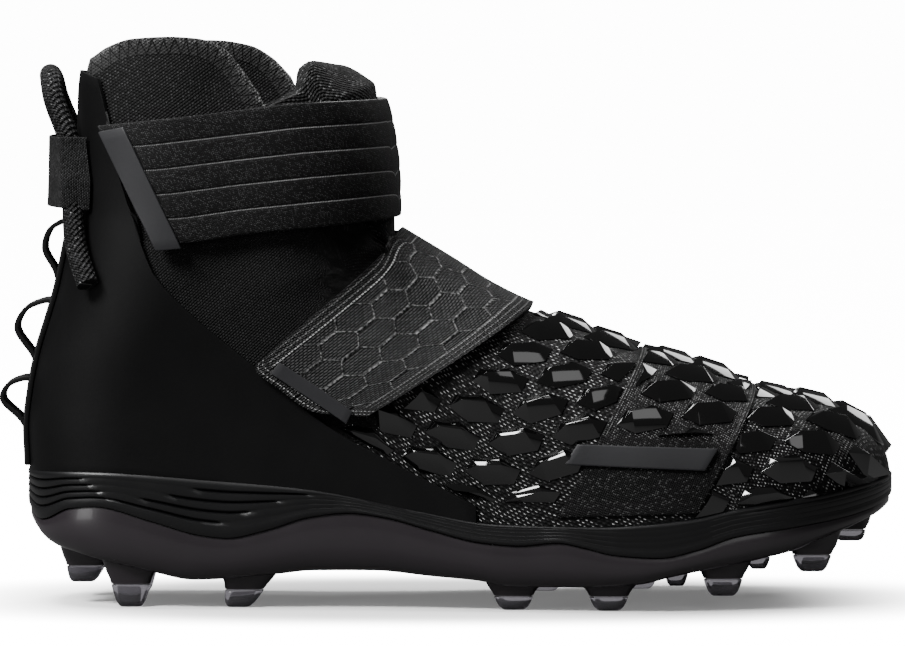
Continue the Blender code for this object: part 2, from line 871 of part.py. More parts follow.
def stud_ring(bm, centre, long_side, wide_side):
    """Eight points round a blade's section."""
    cut = 0.3
    points = []
    for sx, sy in ((1, cut), (cut, 1), (-cut, 1), (-1, cut), (-1, -cut), (-cut, -1), (cut, -1), (1, -cut)):
        points.append(bm.verts.new(centre + Vector((sx * long_side / 2, sy * wide_side / 2, 0))))
    return points


def stud_frame(row):
    name, share, side, tip, lean = row
    x = along(share)
    middle = (medial_width(x) - lateral_width(x)) / 2
    y = middle + side * (plan_width(x) - STUD_INSET)
    tip_z = tip * STUD_HEIGHT
    base_z = plate_bottom(x + lean)
    size = SMALL_STUD if name.startswith("centre") else 1.0
    return Vector((x, y, tip_z)), Vector((x + lean, y, base_z)), size


def stud_rings(bm, row, sections):
    tip, base, size = stud_frame(row)
    rings = []
    for share, long_side, wide_side in sections:
        rings.append(stud_ring(bm, tip.lerp(base, share), long_side * size, wide_side * size))
    return rings


def boss_rings(bm, row):
    """A stud's dark base: its stem, then a flare whose top follows the plate's underside."""
    tip, base, size = stud_frame(row)
    rings = stud_rings(bm, row, BOSS_SECTIONS)
    for long_side, wide_side, depth in BOSS_FLARE:
        ring = stud_ring(bm, base, long_side * size, wide_side * size)
        for vert in ring:
            vert.co.z = plate_bottom(vert.co.x) + depth
        rings.append(ring)
    return rings


def build_studs(used):
    for row in STUDS:
        bm = bmesh.new()
        rings = stud_rings(bm, row, STUD_SECTIONS)
        tube_of_rows(bm, rings)
        bm.faces.new(rings[0])
        bm.faces.new(rings[-1])
        add_object("stud_" + row[0], bm, used)


def build_outsole(used):
    levels = [
        (PLATE_LIP - PLATE_WALL, plate_floor),
        (PLATE_LIP - PLATE_WALL, sole_joint),
        (PLATE_LIP, sole_joint),
        (PLATE_LIP, lambda x: lerp(plate_bottom(x), sole_joint(x), 0.45)),
        (PLATE_LIP - PLATE_TURN, lambda x: lerp(plate_bottom(x), sole_joint(x), 0.12)),
        (PLATE_LIP - PLATE_TUCK, plate_bottom),
    ]
    plate = stacked("outsole", levels, used)
    bm = bmesh.new()
    for row in STUDS:
        rings = boss_rings(bm, row)
        tube_of_rows(bm, rings)
        bm.faces.new(rings[0])
        bm.faces.new(rings[-1])
    bosses = add_object("boss_cutter", bm, used)
    bosses.hide_render = True
    bosses.display_type = "WIRE"
    join = plate.modifiers.new("bosses", "BOOLEAN")
    join.operation = "UNION"
    join.object = bosses
    return plate


def build_insole(used):
    inset = UPPER_WALL + INSOLE_CLEARANCE
    levels = [
        (-inset - INSOLE_ROUND, lambda x: sole_top(x) + SEAT_GAP),
        (-inset, lambda x: sole_top(x) + SEAT_GAP + INSOLE_ROUND),
        (-inset - INSOLE_ROUND, lambda x: sole_top(x) + INSOLE_THICK),
        (-inset - 3 * INSOLE_ROUND, lambda x: sole_top(x) + SEAT_GAP + INSOLE_THICK),
    ]
    return stacked("insole", levels, used)


def build_shell(used):
    """Smooth heel counter and quarter, from the feather line up to its own front edge."""
    edge = dense(SHELL_EDGE, along, SHAFT_HEIGHT)
    columns = SHELL_FRONT_COLUMNS + SHELL_BACK_COLUMNS
    top_back = by_height(SHELL_TOP)
    heel_foot = heel_x(SOLE_RISE)
    corner_top = edge[-1]
    corner_foot = heel_foot + HEEL_ROUND
    grid = []
    for i in range(SHELL_ROWS + 1):
        v = i / SHELL_ROWS
        line = []
        for side in (-1, 1):
            order = range(columns + 1) if side == -1 else range(columns - 1, -1, -1)
            for j in order:
                if j <= SHELL_FRONT_COLUMNS:
                    share = j / SHELL_FRONT_COLUMNS
                    x_edge, z_edge = at_share(edge, share)
                    x_foot = lerp(along(SHELL_EDGE[0][0]) + 0.5 * MM, corner_foot, share)
                else:
                    left = 1 - math.sin(math.pi / 2 * (j - SHELL_FRONT_COLUMNS) / SHELL_BACK_COLUMNS)
                    z_edge = lerp(top_back, corner_top.y, left)
                    x_edge = heel_x(z_edge) + (corner_top.x - heel_x(corner_top.y)) * left
                    x_foot = lerp(heel_foot, corner_foot, left)
                z_foot = sole_top(x_foot) + SKIN_MARGIN
                z_edge = max(z_edge, z_foot + 2 * MM)
                z = lerp(z_foot, z_edge, v)
                set_in = lerp(x_foot - heel_x(z_foot), x_edge - heel_x(z_edge), v)
                x = heel_x(z)
                line.append(on_outline(x, z) if j == columns else surface(x + set_in, z, side))
        grid.append(line)
    return plate_from_grid("quarter_shell", grid, SKIN_GAP, SHELL_THICK, used)


def ankle_grid(top_rows, bottom_rows, rows, steps):
    """Grid round the shaft's front between two lines of the side view."""
    top = dense(top_rows, along, SHAFT_HEIGHT)
    bottom = dense(bottom_rows, along, SHAFT_HEIGHT)
    grid = []
    for i in range(rows + 1):
        u = i / rows
        line = []
        for side in (-1, 1):
            order = range(steps + 1) if side == -1 else range(steps - 1, -1, -1)
            for j in order:
                t = 1 - (1 - j / steps) ** 2
                a = at_share(top, t)
                b = at_share(bottom, t)
                x, z = a.lerp(b, u)
                if j == steps:
                    line.append(on_outline(shaft_x(z), z))
                else:
                    line.append(surface(min(x, shaft_x(z) - 0.02 * MM), z, side))
        grid.append(line)
    return grid


def vamp_point(low, ridge_x, t, side):
    """A point on the way from a low corner to the ridge, in side view, at t of the way."""
    high = Vector((ridge_x, ridge_height(ridge_x)))
    if t >= 1:
        return on_outline(high.x, high.y)
    x, z = Vector(low).lerp(high, t)
    return surface(x, min(z, ridge_height(x) - 0.005 * MM), side)


def vamp_grid(low, ridge, columns, steps):
    """Grid over the ridge between low edges on both sides; low and ridge are rear and front corners."""
    rear = Vector((along(low[0][0]), INSTEP_HEIGHT * low[0][1]))
    front = Vector((along(low[1][0]), INSTEP_HEIGHT * low[1][1]))
    grid = []
    for i in range(columns + 1):
        u = i / columns
        foot = rear.lerp(front, u)
        ridge_x = lerp(along(ridge[0]), along(ridge[1]), u)
        line = []
        for side in (-1, 1):
            order = range(steps + 1) if side == -1 else range(steps - 1, -1, -1)
            for j in order:
                line.append(vamp_point(foot, ridge_x, 1 - (1 - j / steps) ** 2, side))
        grid.append(line)
    return grid


def side_patch(corners, rows, columns, side):
    """Grid on one side inside four corners in side view: low rear, low front, high rear, high front."""
    grid = []
    for i in range(rows + 1):
        line = []
        for j in range(columns + 1):
            low = corners[0].lerp(corners[1], j / columns)
            high = corners[2].lerp(corners[3], j / columns)
            x, z = low.lerp(high, i / rows)
            line.append(surface(x, z, side))
        grid.append(line)
    return grid


def build_tabs(name, corners, height, counts, low, used):
    """The same grey tab on both sides; corners are shares of the length and of the given height."""
    places = [Vector((along(share), height * level)) for share, level in corners]
    for side, word in ((-1, "lateral"), (1, "medial")):
        plate_from_grid(name + "_tab_" + word, side_patch(places, *counts, side), low, TAB_THICK, used)


def build_straps(strap, tab):
    """Wide elastic round the ankle, crossing strap over the midfoot and knit strap over the forefoot."""
    ankle = ankle_grid(ANKLE_STRAP_TOP, ANKLE_STRAP_BOTTOM, STRAP_ROWS, STRAP_STEPS)
    midfoot = vamp_grid(MIDFOOT_STRAP_LOW, MIDFOOT_STRAP_RIDGE, STRAP_ROWS, STRAP_STEPS)
    forefoot = vamp_grid(FOREFOOT_STRAP_LOW, FOREFOOT_STRAP_RIDGE, STRAP_ROWS, STRAP_STEPS)

    def forefoot_thickness(i, j):
        from_foot = min(j, 2 * STRAP_STEPS - j)
        return KNIT_THICK if from_foot < KNIT_STEPS else FOREFOOT_STRAP_THICK

    plate_from_grid("ankle_strap", ankle, OVER_SHELL, STRAP_THICK, strap)
    plate_from_grid("midfoot_strap", midfoot, OVER_SHELL, STRAP_THICK, strap)
    plate_from_grid("forefoot_strap", forefoot, DRAPE_GAP, forefoot_thickness, strap)
    on_strap = OVER_SHELL + STRAP_THICK + GAP
    on_forefoot = DRAPE_GAP + FOREFOOT_STRAP_THICK + GAP
    build_tabs("ankle", ANKLE_TAB, SHAFT_HEIGHT, (5, 2), on_strap, tab)
    build_tabs("midfoot", MIDFOOT_TAB, INSTEP_HEIGHT, (5, 1), on_strap, tab)
    build_tabs("forefoot", FOREFOOT_TAB, INSTEP_HEIGHT, (1, 5), on_forefoot, tab)


def girth_height(x, run):
    """Height of the point a given girth down from the ridge at x, and the girth past the feather line."""
    side = -1 if run < 0 else 1
    top = ridge_height(x)
    reach = top - sole_top(x) - SEAT_GAP
    steps = 40
    last = Vector((x, centre_line(x, top), top))
    travelled = 0.0
    for i in range(1, steps + 1):
        z = top - reach * (i / steps) ** 2
        here = surface_point(x, z, side)
        step = (here - last).length
        if travelled + step >= abs(run):
            z_before = top - reach * ((i - 1) / steps) ** 2
            return lerp(z_before, z, (abs(run) - travelled) / step), 0.0
        travelled += step
        last = here
    return top - reach, abs(run) - travelled


def zone_point(flat, zone):
    """The surface point of a flat lattice place, drawn in to the zone's edges, and how far it was drawn."""
    rear_edge, front_edge, low_line = zone
    x = min(max(flat.x, along(0.25)), TOE_X - MM)
    z, past = girth_height(x, -flat.y)
    depth = ridge_height(x) - z
    x_in = min(max(x, rear_edge(z) + SCALE_MARGIN), front_edge(z) - SCALE_MARGIN)
    z_in = max(ridge_height(x_in) - depth, low_line(x_in) + SCALE_MARGIN)
    drawn = math.hypot(x_in - flat.x, max(z_in - z, 0.0) + past)
    side = -1 if flat.y > 0 else 1
    if depth < 1e-6:
        return on_outline(x_in, ridge_height(x_in)), drawn
    return surface(x_in, z_in, side), drawn


def lattice_place(i, j):
    """Flat place of a lattice node, along the foot and down the lateral girth."""
    return Vector((along(0.5), 0.0)) + Vector(LATTICE_ALONG) * i + Vector(LATTICE_DOWN) * j


def scale_cells(zone):
    """Lattice cells centred in the zone, as their four corner nodes, and each node's place on the surface."""
    cells = []
    places = {}
    for j in range(*LATTICE_GIRTH):
        for i in range(*LATTICE_RUN):
            centre = lattice_place(i + 0.5, j + 0.5)
            if not along(0.3) < centre.x < along(1.1) or zone_point(centre, zone)[1] > SCALE_REACH:
                continue
            keys = [(i + p, j + q) for p, q in ((0, 0), (1, 0), (1, 1), (0, 1))]
            for key in keys:
                if key not in places:
                    places[key] = zone_point(lattice_place(*key), zone)[0]
            points = [places[key][0] for key in keys]
            if min((points[m] - points[m - 1]).length for m in range(4)) > SCALE_LEAST:
                cells.append(keys)
    return cells, places


def inside_cell(corners, share_long, share_high, lift):
    """A place in a cell, its shares running from -1 to 1 along each side, lifted off the surface."""
    a, b, c, d = corners
    u = 0.5 + 0.5 * share_long
    v = 0.5 + 0.5 * share_high
    point = a[0].lerp(b[0], u).lerp(d[0].lerp(c[0], u), v)
    normal = (a[1] + b[1] + c[1] + d[1]).normalized()
    return point + normal * lift


def cell_rise(corners):
    """Height of a scale's ridge: less in a cell that the zone's edge cuts short."""
    a, b, c, d = (place for place, normal in corners)
    area = (c - a).cross(d - b).length / 2
    full = abs(LATTICE_ALONG[0] * LATTICE_DOWN[1] - LATTICE_ALONG[1] * LATTICE_DOWN[0])
    return SCALE_RISE * min(area / full, 1.0)


def build_scales(name, zone, low, used):
    """A thin woven sheet with a lattice of raised scales, each an elongated hexagon with a roof ridge."""
    cells, places = scale_cells(zone)
    bm = bmesh.new()
    corners_used = sorted({key for keys in cells for key in keys})
    high = low + SCALE_SHEET
    upper = {key: bm.verts.new(places[key][0] + places[key][1] * high) for key in corners_used}
    lower = {key: bm.verts.new(places[key][0] + places[key][1] * low) for key in corners_used}
    rim = {}
    for keys in cells:
        corners = [places[key] for key in keys]
        foot = high + SCALE_BULGE
        crest = foot + cell_rise(corners)
        base = [bm.verts.new(inside_cell(corners, sx, sy, foot)) for sx, sy in SCALE_SHAPE]
        roof = [bm.verts.new(inside_cell(corners, sx, sy, crest)) for sx, sy in SCALE_ROOF]
        bridge_cell(bm, [upper[key] for key in keys], base)
        bm.faces.new((base[0], base[1], roof[0]))
        bm.faces.new((base[1], base[2], roof[1], roof[0]))
        bm.faces.new((base[2], base[3], roof[1]))
        bm.faces.new((base[3], base[4], roof[1]))
        bm.faces.new((base[4], base[5], roof[0], roof[1]))
        bm.faces.new((base[5], base[0], roof[0]))
        bm.faces.new([lower[key] for key in reversed(keys)])
        for m in range(4):
            pair = (keys[m], keys[(m + 1) % 4])
            if rim.pop((pair[1], pair[0]), None) is None:
                rim[pair] = True
    for first, second in rim:
        bm.faces.new((lower[first], lower[second], upper[second], upper[first]))
    bmesh.ops.triangulate(bm, faces=bm.faces)
    return add_object(name, bm, used)


def bridge_cell(bm, outer, base):
    """Fills between a cell's four corners and the scale's six base corners."""
    q0, q1, q2, q3 = outer
    b0, b1, b2, b3, b4, b5 = base
    for face in ((q0, b0, b1), (q0, b1, b2), (q0, b2, q1), (q1, b2, b3), (q1, b3, q2)):
        bm.faces.new(face)
    for face in ((q2, b3, b4), (q2, b4, b5), (q2, b5, q3), (q3, b5, b0), (q3, b0, q0)):
        bm.faces.new(face)


def strap_edge(low, ridge_share, z):
    """Side view x of a strap's edge at height z, from its low corner to its corner on the ridge."""
    low_z = INSTEP_HEIGHT * low[1]
    ridge_x = along(ridge_share)
    share = (z - low_z) / (ridge_height(ridge_x) - low_z)
    return lerp(along(low[0]), ridge_x, share)


def shell_edge_height(x):
    rows = [(a, b) for a, b in reversed(SHELL_EDGE) if a > 0.2]
    return curve_of(rows, along, SHAFT_HEIGHT)(x)


def build_all_scales(used):
    mid_front = (MIDFOOT_STRAP_LOW[1], MIDFOOT_STRAP_RIDGE[1])
    fore_rear = (FOREFOOT_STRAP_LOW[0], FOREFOOT_STRAP_RIDGE[0])
    fore_front = (FOREFOOT_STRAP_LOW[1], FOREFOOT_STRAP_RIDGE[1])
    behind = (
        lambda z: strap_edge(*mid_front, z),
        lambda z: strap_edge(*fore_rear, z),
        lambda x: max(shell_edge_height(x) + SCALE_MARGIN, sole_top(x)),
    )
    toe = (lambda z: strap_edge(*fore_front, z), lambda z: TOE_X, sole_top)
    strap = (
        lambda z: strap_edge(*fore_rear, z) - SCALE_MARGIN / 2,
        lambda z: strap_edge(*fore_front, z) + SCALE_MARGIN / 2,
        lambda x: FOREFOOT_TAB_TOP * INSTEP_HEIGHT,
    )
    build_scales("vamp_scales", behind, SCALE_LIFT, used)
    build_scales("toe_scales", toe, TOE_SCALE_LIFT, used)
    build_scales("forefoot_strap_scales", strap, DRAPE_GAP + FOREFOOT_STRAP_THICK + SCALE_LIFT, used)


def build_tongue(used):
    """Padded tongue under the throat's edges, its thick knit top standing over the ankle strap."""
    wing = dense(TONGUE_WING, along, SHAFT_HEIGHT)
    front = [Vector((along(a), ridge_height(along(a)))) for a in (0.530, 0.510, 0.490, 0.470, 0.450, 0.430)]
    crease = ridge_height(along(RIDGE[0][0]))
    top = by_height(TONGUE_TOP)
    front += [Vector((shaft_x(z), z)) for z in (lerp(crease, top, i / 8) for i in range(9))]
    columns = TONGUE_STEPS
    grid = []
    lows = []
    thicks = []
    for share_wing, share_front, outer, inner in TONGUE:
        a = at_share(wing, share_wing)
        b = at_share(front, share_front)
        line = []
        low = []
        thick = []
        for side in (-1, 1):
            order = range(columns + 1) if side == -1 else range(columns - 1, -1, -1)
            for j in order:
                s = 1 - (1 - j / columns) ** 2
                x, z = a.lerp(b, s)
                line.append(on_outline(b.x, b.y) if j == columns else surface(x, z, side))
                pad = smooth_step(s, 0.25, 0.80)
                out = lerp(-TONGUE_DEPTH, outer, smooth_step(s, 0.45, 1.0))
                deep = lerp(-TONGUE_DEPTH - TONGUE_THICK, inner, pad)
                low.append(deep)
                thick.append(out - deep)
        grid.append(line)
        lows.append(low)
        thicks.append(thick)
    return plate_from_grid("tongue", grid, lambda i, j: lows[i][j], lambda i, j: thicks[i][j], used)


def cord_route():
    """Centre line of the pull cord: up one side of the heel, over behind the collar, down the other."""
    off = SKIN_GAP + SHELL_THICK + 2 * GAP + CORD_DIAMETER / 2
    leg = []
    for height, y in CORD_LEG:
        point, normal = heel_point(y, by_height(height))
        leg.append(point + normal * off)
    arch = []
    for height, y, behind in CORD_ARCH:
        z = by_height(height)
        arch.append(Vector((heel_x(z) - behind, y, z)))
    half = [*leg, *arch]
    return [*half, *[Vector((p.x, -p.y, p.z)) for p in reversed(half[:-1])]]


def build_cord(used):
    route = smooth_route(cord_route(), 2)
    curve = bpy.data.curves.new("pull_cord", "CURVE")
    curve.dimensions = "3D"
    curve.bevel_depth = CORD_DIAMETER / 2
    curve.bevel_resolution = 2
    curve.use_fill_caps = True
    spline = curve.splines.new("POLY")
    spline.points.add(len(route) - 1)
    for spot, place in zip(spline.points, route):
        spot.co = (*place, 1.0)
    curve.materials.append(used)
    made = bpy.data.objects.new("pull_cord", curve)
    bpy.context.scene.collection.objects.link(made)
    made.parent = bpy.data.objects["cleat"]


def build_sleeve(used):
    """Webbing band sewn over both legs of the pull cord."""
    grid = []
    lows = []
    for i in range(4):
        z = lerp(by_height(SLEEVE_HEIGHTS[0]), by_height(SLEEVE_HEIGHTS[1]), i / 3)
        leg_y = abs(cord_y_at(z))
        reach = min(leg_y + SLEEVE_MARGIN, SLEEVE_REACH)
        low_edge = SKIN_GAP + SHELL_THICK + GAP
        over = low_edge + CORD_DIAMETER + 3 * GAP
        grid.append([heel_point(reach * span, z) for span in SLEEVE_SPANS])
        lows.append([low_edge if abs(span) == 1.0 else over for span in SLEEVE_SPANS])
    return plate_from_grid("cord_sleeve", grid, lambda i, j: lows[i][j], SLEEVE_THICK, used)


def cord_y_at(z):
    rows = [(by_height(h), y) for h, y in CORD_LEG]
    return float(np.interp(z, [r[0] for r in rows], [r[1] for r in rows]))


def band(bm, points, thick, wide):
    """A strip of tape along points in the x z plane, its width across y."""
    rings = []
    for i, p in enumerate(points):
        way = points[min(i + 1, len(points) - 1)] - points[max(i - 1, 0)]
        out = Vector((-way.y, way.x)).normalized() * thick / 2
        ring = []
        for q, y in ((p + out, -wide / 2), (p + out, wide / 2), (p - out, wide / 2), (p - out, -wide / 2)):
            ring.append(bm.verts.new((q.x, y, q.y)))
        rings.append(ring)
    tube_of_rows(bm, rings)
    bm.faces.new(rings[0])
    bm.faces.new(rings[-1])


def build_tape(used):
    """Heel tape: a flat strip down the back with three open loops standing off it."""
    low = SKIN_GAP + SHELL_THICK + 3 * GAP
    grid = []
    for i in range(TAPE_ROWS + 1):
        z = lerp(sole_top(heel_x(SOLE_RISE)) + 2 * SKIN_MARGIN, by_height(TAPE_TOP), i / TAPE_ROWS)
        grid.append([heel_point(TAPE_WIDTH / 2 * span, z) for span in (-1.0, -0.5, 0.0, 0.5, 1.0)])
    tape = plate_from_grid("heel_tape", grid, low, TAPE_THICK, used)
    for number, loop in enumerate(TAPE_LOOPS):
        points = []
        for height, out in loop:
            z = by_height(height)
            points.append(Vector((heel_x(z) - low - TAPE_THICK / 2 - out, z)))
        bm = bmesh.new()
        band(bm, smooth_route(points, 2), TAPE_THICK, TAPE_WIDTH - 2 * MM)
        ring = add_object("tape_loop_cutter_" + str(number), bm, used)
        ring.hide_render = True
        ring.display_type = "WIRE"
        join = tape.modifiers.new("loop", "BOOLEAN")
        join.operation = "UNION"
        join.object = ring
    return tape


def centre_on_origin(root):
    """Moves the whole shoe so that the middle of its bounding box's underside is the origin."""
    bpy.context.view_layer.update()
    graph = bpy.context.evaluated_depsgraph_get()
    points = []
    for made in root.children:
        if not made.hide_render:
            evaluated = made.evaluated_get(graph)
            points += [evaluated.matrix_world @ vert.co for vert in evaluated.to_mesh().vertices]
            evaluated.to_mesh_clear()
    low = [min(p[axis] for p in points) for axis in range(3)]
    high = [max(p[axis] for p in points) for axis in range(3)]
    root.location = (-(low[0] + high[0]) / 2, -(low[1] + high[1]) / 2, -low[2])


def main():
    for old in list(bpy.data.objects):
        bpy.data.objects.remove(old)
    root = bpy.data.objects.new("cleat", None)
    bpy.context.scene.collection.objects.link(root)

    woven = material("black_woven", (0.012, 0.012, 0.013), 0.8)
    smooth = material("black_smooth_shell", (0.010, 0.010, 0.011), 0.45)
    knit = material("black_knit", (0.02, 0.02, 0.022), 0.9)
    strap = material("black_strap", (0.015, 0.015, 0.016), 0.75)
    grey = material("dark_grey_tab", (0.05, 0.05, 0.054), 0.55)
    rubber = material("black_foam_rubber", (0.017, 0.017, 0.018), 0.6)
    smoky = material("smoky_plate", (0.045, 0.038, 0.044), 0.2)
    gloss = material("gloss_black_scale", (0.006, 0.006, 0.007), 0.12)
    cord = material("black_cord", (0.018, 0.018, 0.019), 0.85)
    clear = material("clear_tip", (0.35, 0.34, 0.36), 0.1)

    build_upper(woven)
    build_midsole(rubber)
    build_outsole(smoky)
    build_studs(clear)
    build_insole(knit)
    build_shell(smooth)
    build_straps(strap, grey)
    build_tongue(knit)
    build_all_scales(gloss)
    build_cord(cord)
    build_sleeve(strap)
    build_tape(strap)
    centre_on_origin(root)


main()
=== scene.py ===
"""Looks of a high american football cleat for the right foot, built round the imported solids.

Metres, +Z up, toe to +X, lateral side to -Y. Side view places are shares of the shoe's own sizes.
"""

import math

import bpy
import numpy as np
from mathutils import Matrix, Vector


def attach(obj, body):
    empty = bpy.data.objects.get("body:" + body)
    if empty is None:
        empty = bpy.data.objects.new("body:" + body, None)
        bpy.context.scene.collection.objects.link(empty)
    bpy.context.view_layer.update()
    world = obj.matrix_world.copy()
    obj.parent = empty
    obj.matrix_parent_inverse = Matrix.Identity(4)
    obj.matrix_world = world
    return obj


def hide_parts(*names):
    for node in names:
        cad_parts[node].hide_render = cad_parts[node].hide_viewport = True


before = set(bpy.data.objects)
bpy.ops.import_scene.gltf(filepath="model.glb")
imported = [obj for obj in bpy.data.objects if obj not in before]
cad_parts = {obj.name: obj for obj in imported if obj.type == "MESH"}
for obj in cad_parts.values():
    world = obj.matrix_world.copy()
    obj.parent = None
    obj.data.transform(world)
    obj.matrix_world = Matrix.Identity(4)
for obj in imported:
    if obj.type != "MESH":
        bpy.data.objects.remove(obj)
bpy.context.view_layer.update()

MM = 0.001
SHIFT = Vector((4.379 * MM, -0.207 * MM, 0.0))

# Sizes of the last and the sole, as the solids have them
SOLE_LENGTH = 300 * MM
BALL_WIDTH = 95 * MM
ANKLE_WIDTH = 74 * MM
SHAFT_HEIGHT = 190 * MM
INSTEP_HEIGHT = 126 * MM
SOLE_RISE = 46 * MM
STUD_HEIGHT = 12 * MM
UPPER_WALL = 2.2 * MM
COLLAR_PAD = 4.5 * MM
SHELL_LIFT = 2.1 * MM
SHELL_THICK = 1.2 * MM
STRAP_LIFT = 5.0 * MM
STRAP_THICK = 2.0 * MM
FOREFOOT_LIFT = 2.4 * MM
FOREFOOT_THICK = 1.5 * MM
TAB_THICK = 1.2 * MM
ROUNDNESS = 2.3
TOE_ROUND = 50 * MM
HEEL_ROUND = 34 * MM
ANKLE_BACK_ROUND = 42 * MM
SHAFT_FRONT_ROUND = 46 * MM

# length share, height share of SHAFT_HEIGHT: back of the heel, bottom to top
HEEL_BACK = (
    (0.0120, 0.210), (0.0120, 0.247), (0.0105, 0.316), (0.0150, 0.381), (0.0237, 0.450),
    (0.0353, 0.510), (0.0453, 0.563), (0.0527, 0.616), (0.0590, 0.665), (0.0660, 0.718),
    (0.0680, 0.820), (0.0690, 0.916), (0.0730, 0.972), (0.0800, 1.000),
)
# length share, height share of INSTEP_HEIGHT: top line from the ankle crease to the toe
RIDGE = (
    (0.420, 1.000), (0.483, 0.910), (0.533, 0.836), (0.580, 0.783), (0.625, 0.750), (0.666, 0.713),
    (0.700, 0.684), (0.737, 0.652), (0.780, 0.621), (0.830, 0.579), (0.863, 0.557), (0.915, 0.530),
    (0.955, 0.490), (0.978, 0.440), (0.9895, 0.393), (0.992, 0.350),
)
# height share of SHAFT_HEIGHT, length share: front of the shaft
SHAFT_FRONT = (
    (0.500, 0.420), (0.660, 0.420), (0.770, 0.419), (0.860, 0.412), (0.920, 0.402), (1.000, 0.385),
)
# length share, vertical rounding of the vamp as a share of INSTEP_HEIGHT
VAMP_ROUND = (
    (0.400, 0.500), (0.550, 0.460), (0.680, 0.380), (0.800, 0.290), (0.900, 0.230), (1.000, 0.190),
)
# length share, lateral and medial half widths as shares of BALL_WIDTH
PLAN = (
    (0.00, 0.330, 0.330), (0.06, 0.335, 0.335), (0.15, 0.350, 0.345), (0.25, 0.362, 0.335),
    (0.35, 0.380, 0.318), (0.45, 0.410, 0.330), (0.55, 0.450, 0.378), (0.65, 0.488, 0.448),
    (0.72, 0.500, 0.490), (0.80, 0.480, 0.505), (0.88, 0.435, 0.495), (0.95, 0.375, 0.470),
    (1.00, 0.325, 0.450),
)
# length share, heights of the sole's lines as shares of SOLE_RISE
TOP_LINE = (
    (0.000, 1.000), (0.075, 1.020), (0.224, 0.965), (0.332, 0.898), (0.455, 0.743), (0.543, 0.652),
    (0.654, 0.639), (0.762, 0.696), (0.811, 0.763), (0.918, 0.874), (1.000, 0.970),
)
JOINT_LINE = (
    (0.000, 0.870), (0.027, 0.640), (0.059, 0.735), (0.089, 0.755), (0.147, 0.657), (0.211, 0.543),
    (0.237, 0.528), (0.281, 0.587), (0.332, 0.687), (0.376, 0.717), (0.417, 0.685), (0.468, 0.596),
    (0.526, 0.507), (0.569, 0.487), (0.612, 0.513), (0.641, 0.478), (0.676, 0.426), (0.726, 0.407),
    (0.768, 0.463), (0.811, 0.557), (0.882, 0.624), (0.954, 0.702), (0.990, 0.790), (1.000, 0.900),
)
PLATE_LINE = (
    (0.000, 0.700), (0.010, 0.620), (0.031, 0.457), (0.060, 0.400), (0.147, 0.272), (0.197, 0.210),
    (0.291, 0.254), (0.332, 0.283), (0.400, 0.287), (0.468, 0.248), (0.520, 0.220), (0.560, 0.178),
    (0.640, 0.180), (0.704, 0.204), (0.740, 0.257), (0.847, 0.389), (0.882, 0.439), (0.918, 0.520),
    (0.954, 0.600), (0.990, 0.700), (1.000, 0.760),
)
# length share, height share of SHAFT_HEIGHT
COLLAR_LINE = (
    (0.066, 0.978), (0.078, 0.986), (0.100, 1.008), (0.128, 1.023), (0.170, 1.027), (0.204, 1.024),
    (0.237, 1.002), (0.258, 0.962), (0.274, 0.925),
)
THROAT_EDGE = (
    (0.560, 0.5280), (0.520, 0.5540), (0.470, 0.5980), (0.420, 0.6520), (0.385, 0.7000),
    (0.350, 0.7600), (0.315, 0.8300), (0.285, 0.8900), (0.274, 0.9250),
)
MEDIAL_COLLAR_LINE = (
    (0.066, 0.978), (0.078, 0.986), (0.100, 1.004), (0.128, 1.012), (0.170, 1.015), (0.210, 1.015),
    (0.255, 1.006), (0.282, 0.983), (0.304, 0.948),
)
MEDIAL_THROAT_EDGE = (
    (0.560, 0.5280), (0.520, 0.5540), (0.470, 0.5980), (0.420, 0.6520), (0.393, 0.7000),
    (0.368, 0.7600), (0.345, 0.8300), (0.320, 0.8960), (0.304, 0.9480),
)
SHELL_EDGE = (
    (0.520, 0.190), (0.480, 0.222), (0.420, 0.270), (0.345, 0.337), (0.270, 0.435), (0.200, 0.527),
    (0.160, 0.592), (0.145, 0.640), (0.130, 0.720), (0.112, 0.820), (0.102, 0.900), (0.094, 0.950),
)
SHELL_TOP = 0.962
ANKLE_STRAP_TOP = ((0.100, 0.868), (0.276, 0.902), (0.328, 0.908), (0.402, 0.908))
ANKLE_STRAP_BOTTOM = (
    (0.163, 0.660), (0.197, 0.660), (0.265, 0.676), (0.330, 0.686), (0.420, 0.700),
)
# length share and height share of INSTEP_HEIGHT of the straps' corners, rear then front
MIDFOOT_STRAP_LOW = ((0.272, 0.672), (0.398, 0.528))
MIDFOOT_STRAP_RIDGE = (0.427, 0.580)
# share of the strap's width from its rear edge, how far its sewn end reaches past the corners' line
MIDFOOT_STRAP_END = (
    (0.00, 0.0), (0.04, 2.7 * MM), (0.30, 5.2 * MM), (0.65, 8.0 * MM), (0.87, 4.3 * MM),
    (1.00, 0.0),
)
STRAIGHT_END = ((0.0, 0.0), (1.0, 0.0))
FOREFOOT_STRAP_LOW = ((0.611, 0.258), (0.768, 0.270))
FOREFOOT_STRAP_RIDGE = (0.707, 0.840)
TAB_LIFT = 6.3 * MM
FOREFOOT_TAB_LIFT = 3.7 * MM
# low rear, low front, high rear, high front, as length share and height share
ANKLE_TAB = ((0.160, 0.645), (0.187, 0.650), (0.104, 0.856), (0.129, 0.866))
MIDFOOT_TAB = ((0.374, 0.508), (0.381, 0.540), (0.288, 0.645), (0.297, 0.676))
FOREFOOT_TAB = ((0.620, 0.400), (0.776, 0.381), (0.634, 0.452), (0.791, 0.434))
FOREFOOT_TAB_TOP = 0.47
TONGUE_WING = (
    (0.536, 0.512), (0.460, 0.562), (0.405, 0.612), (0.360, 0.668), (0.322, 0.735), (0.290, 0.805),
    (0.262, 0.862), (0.246, 0.896),
)
TONGUE_TOP = 0.988
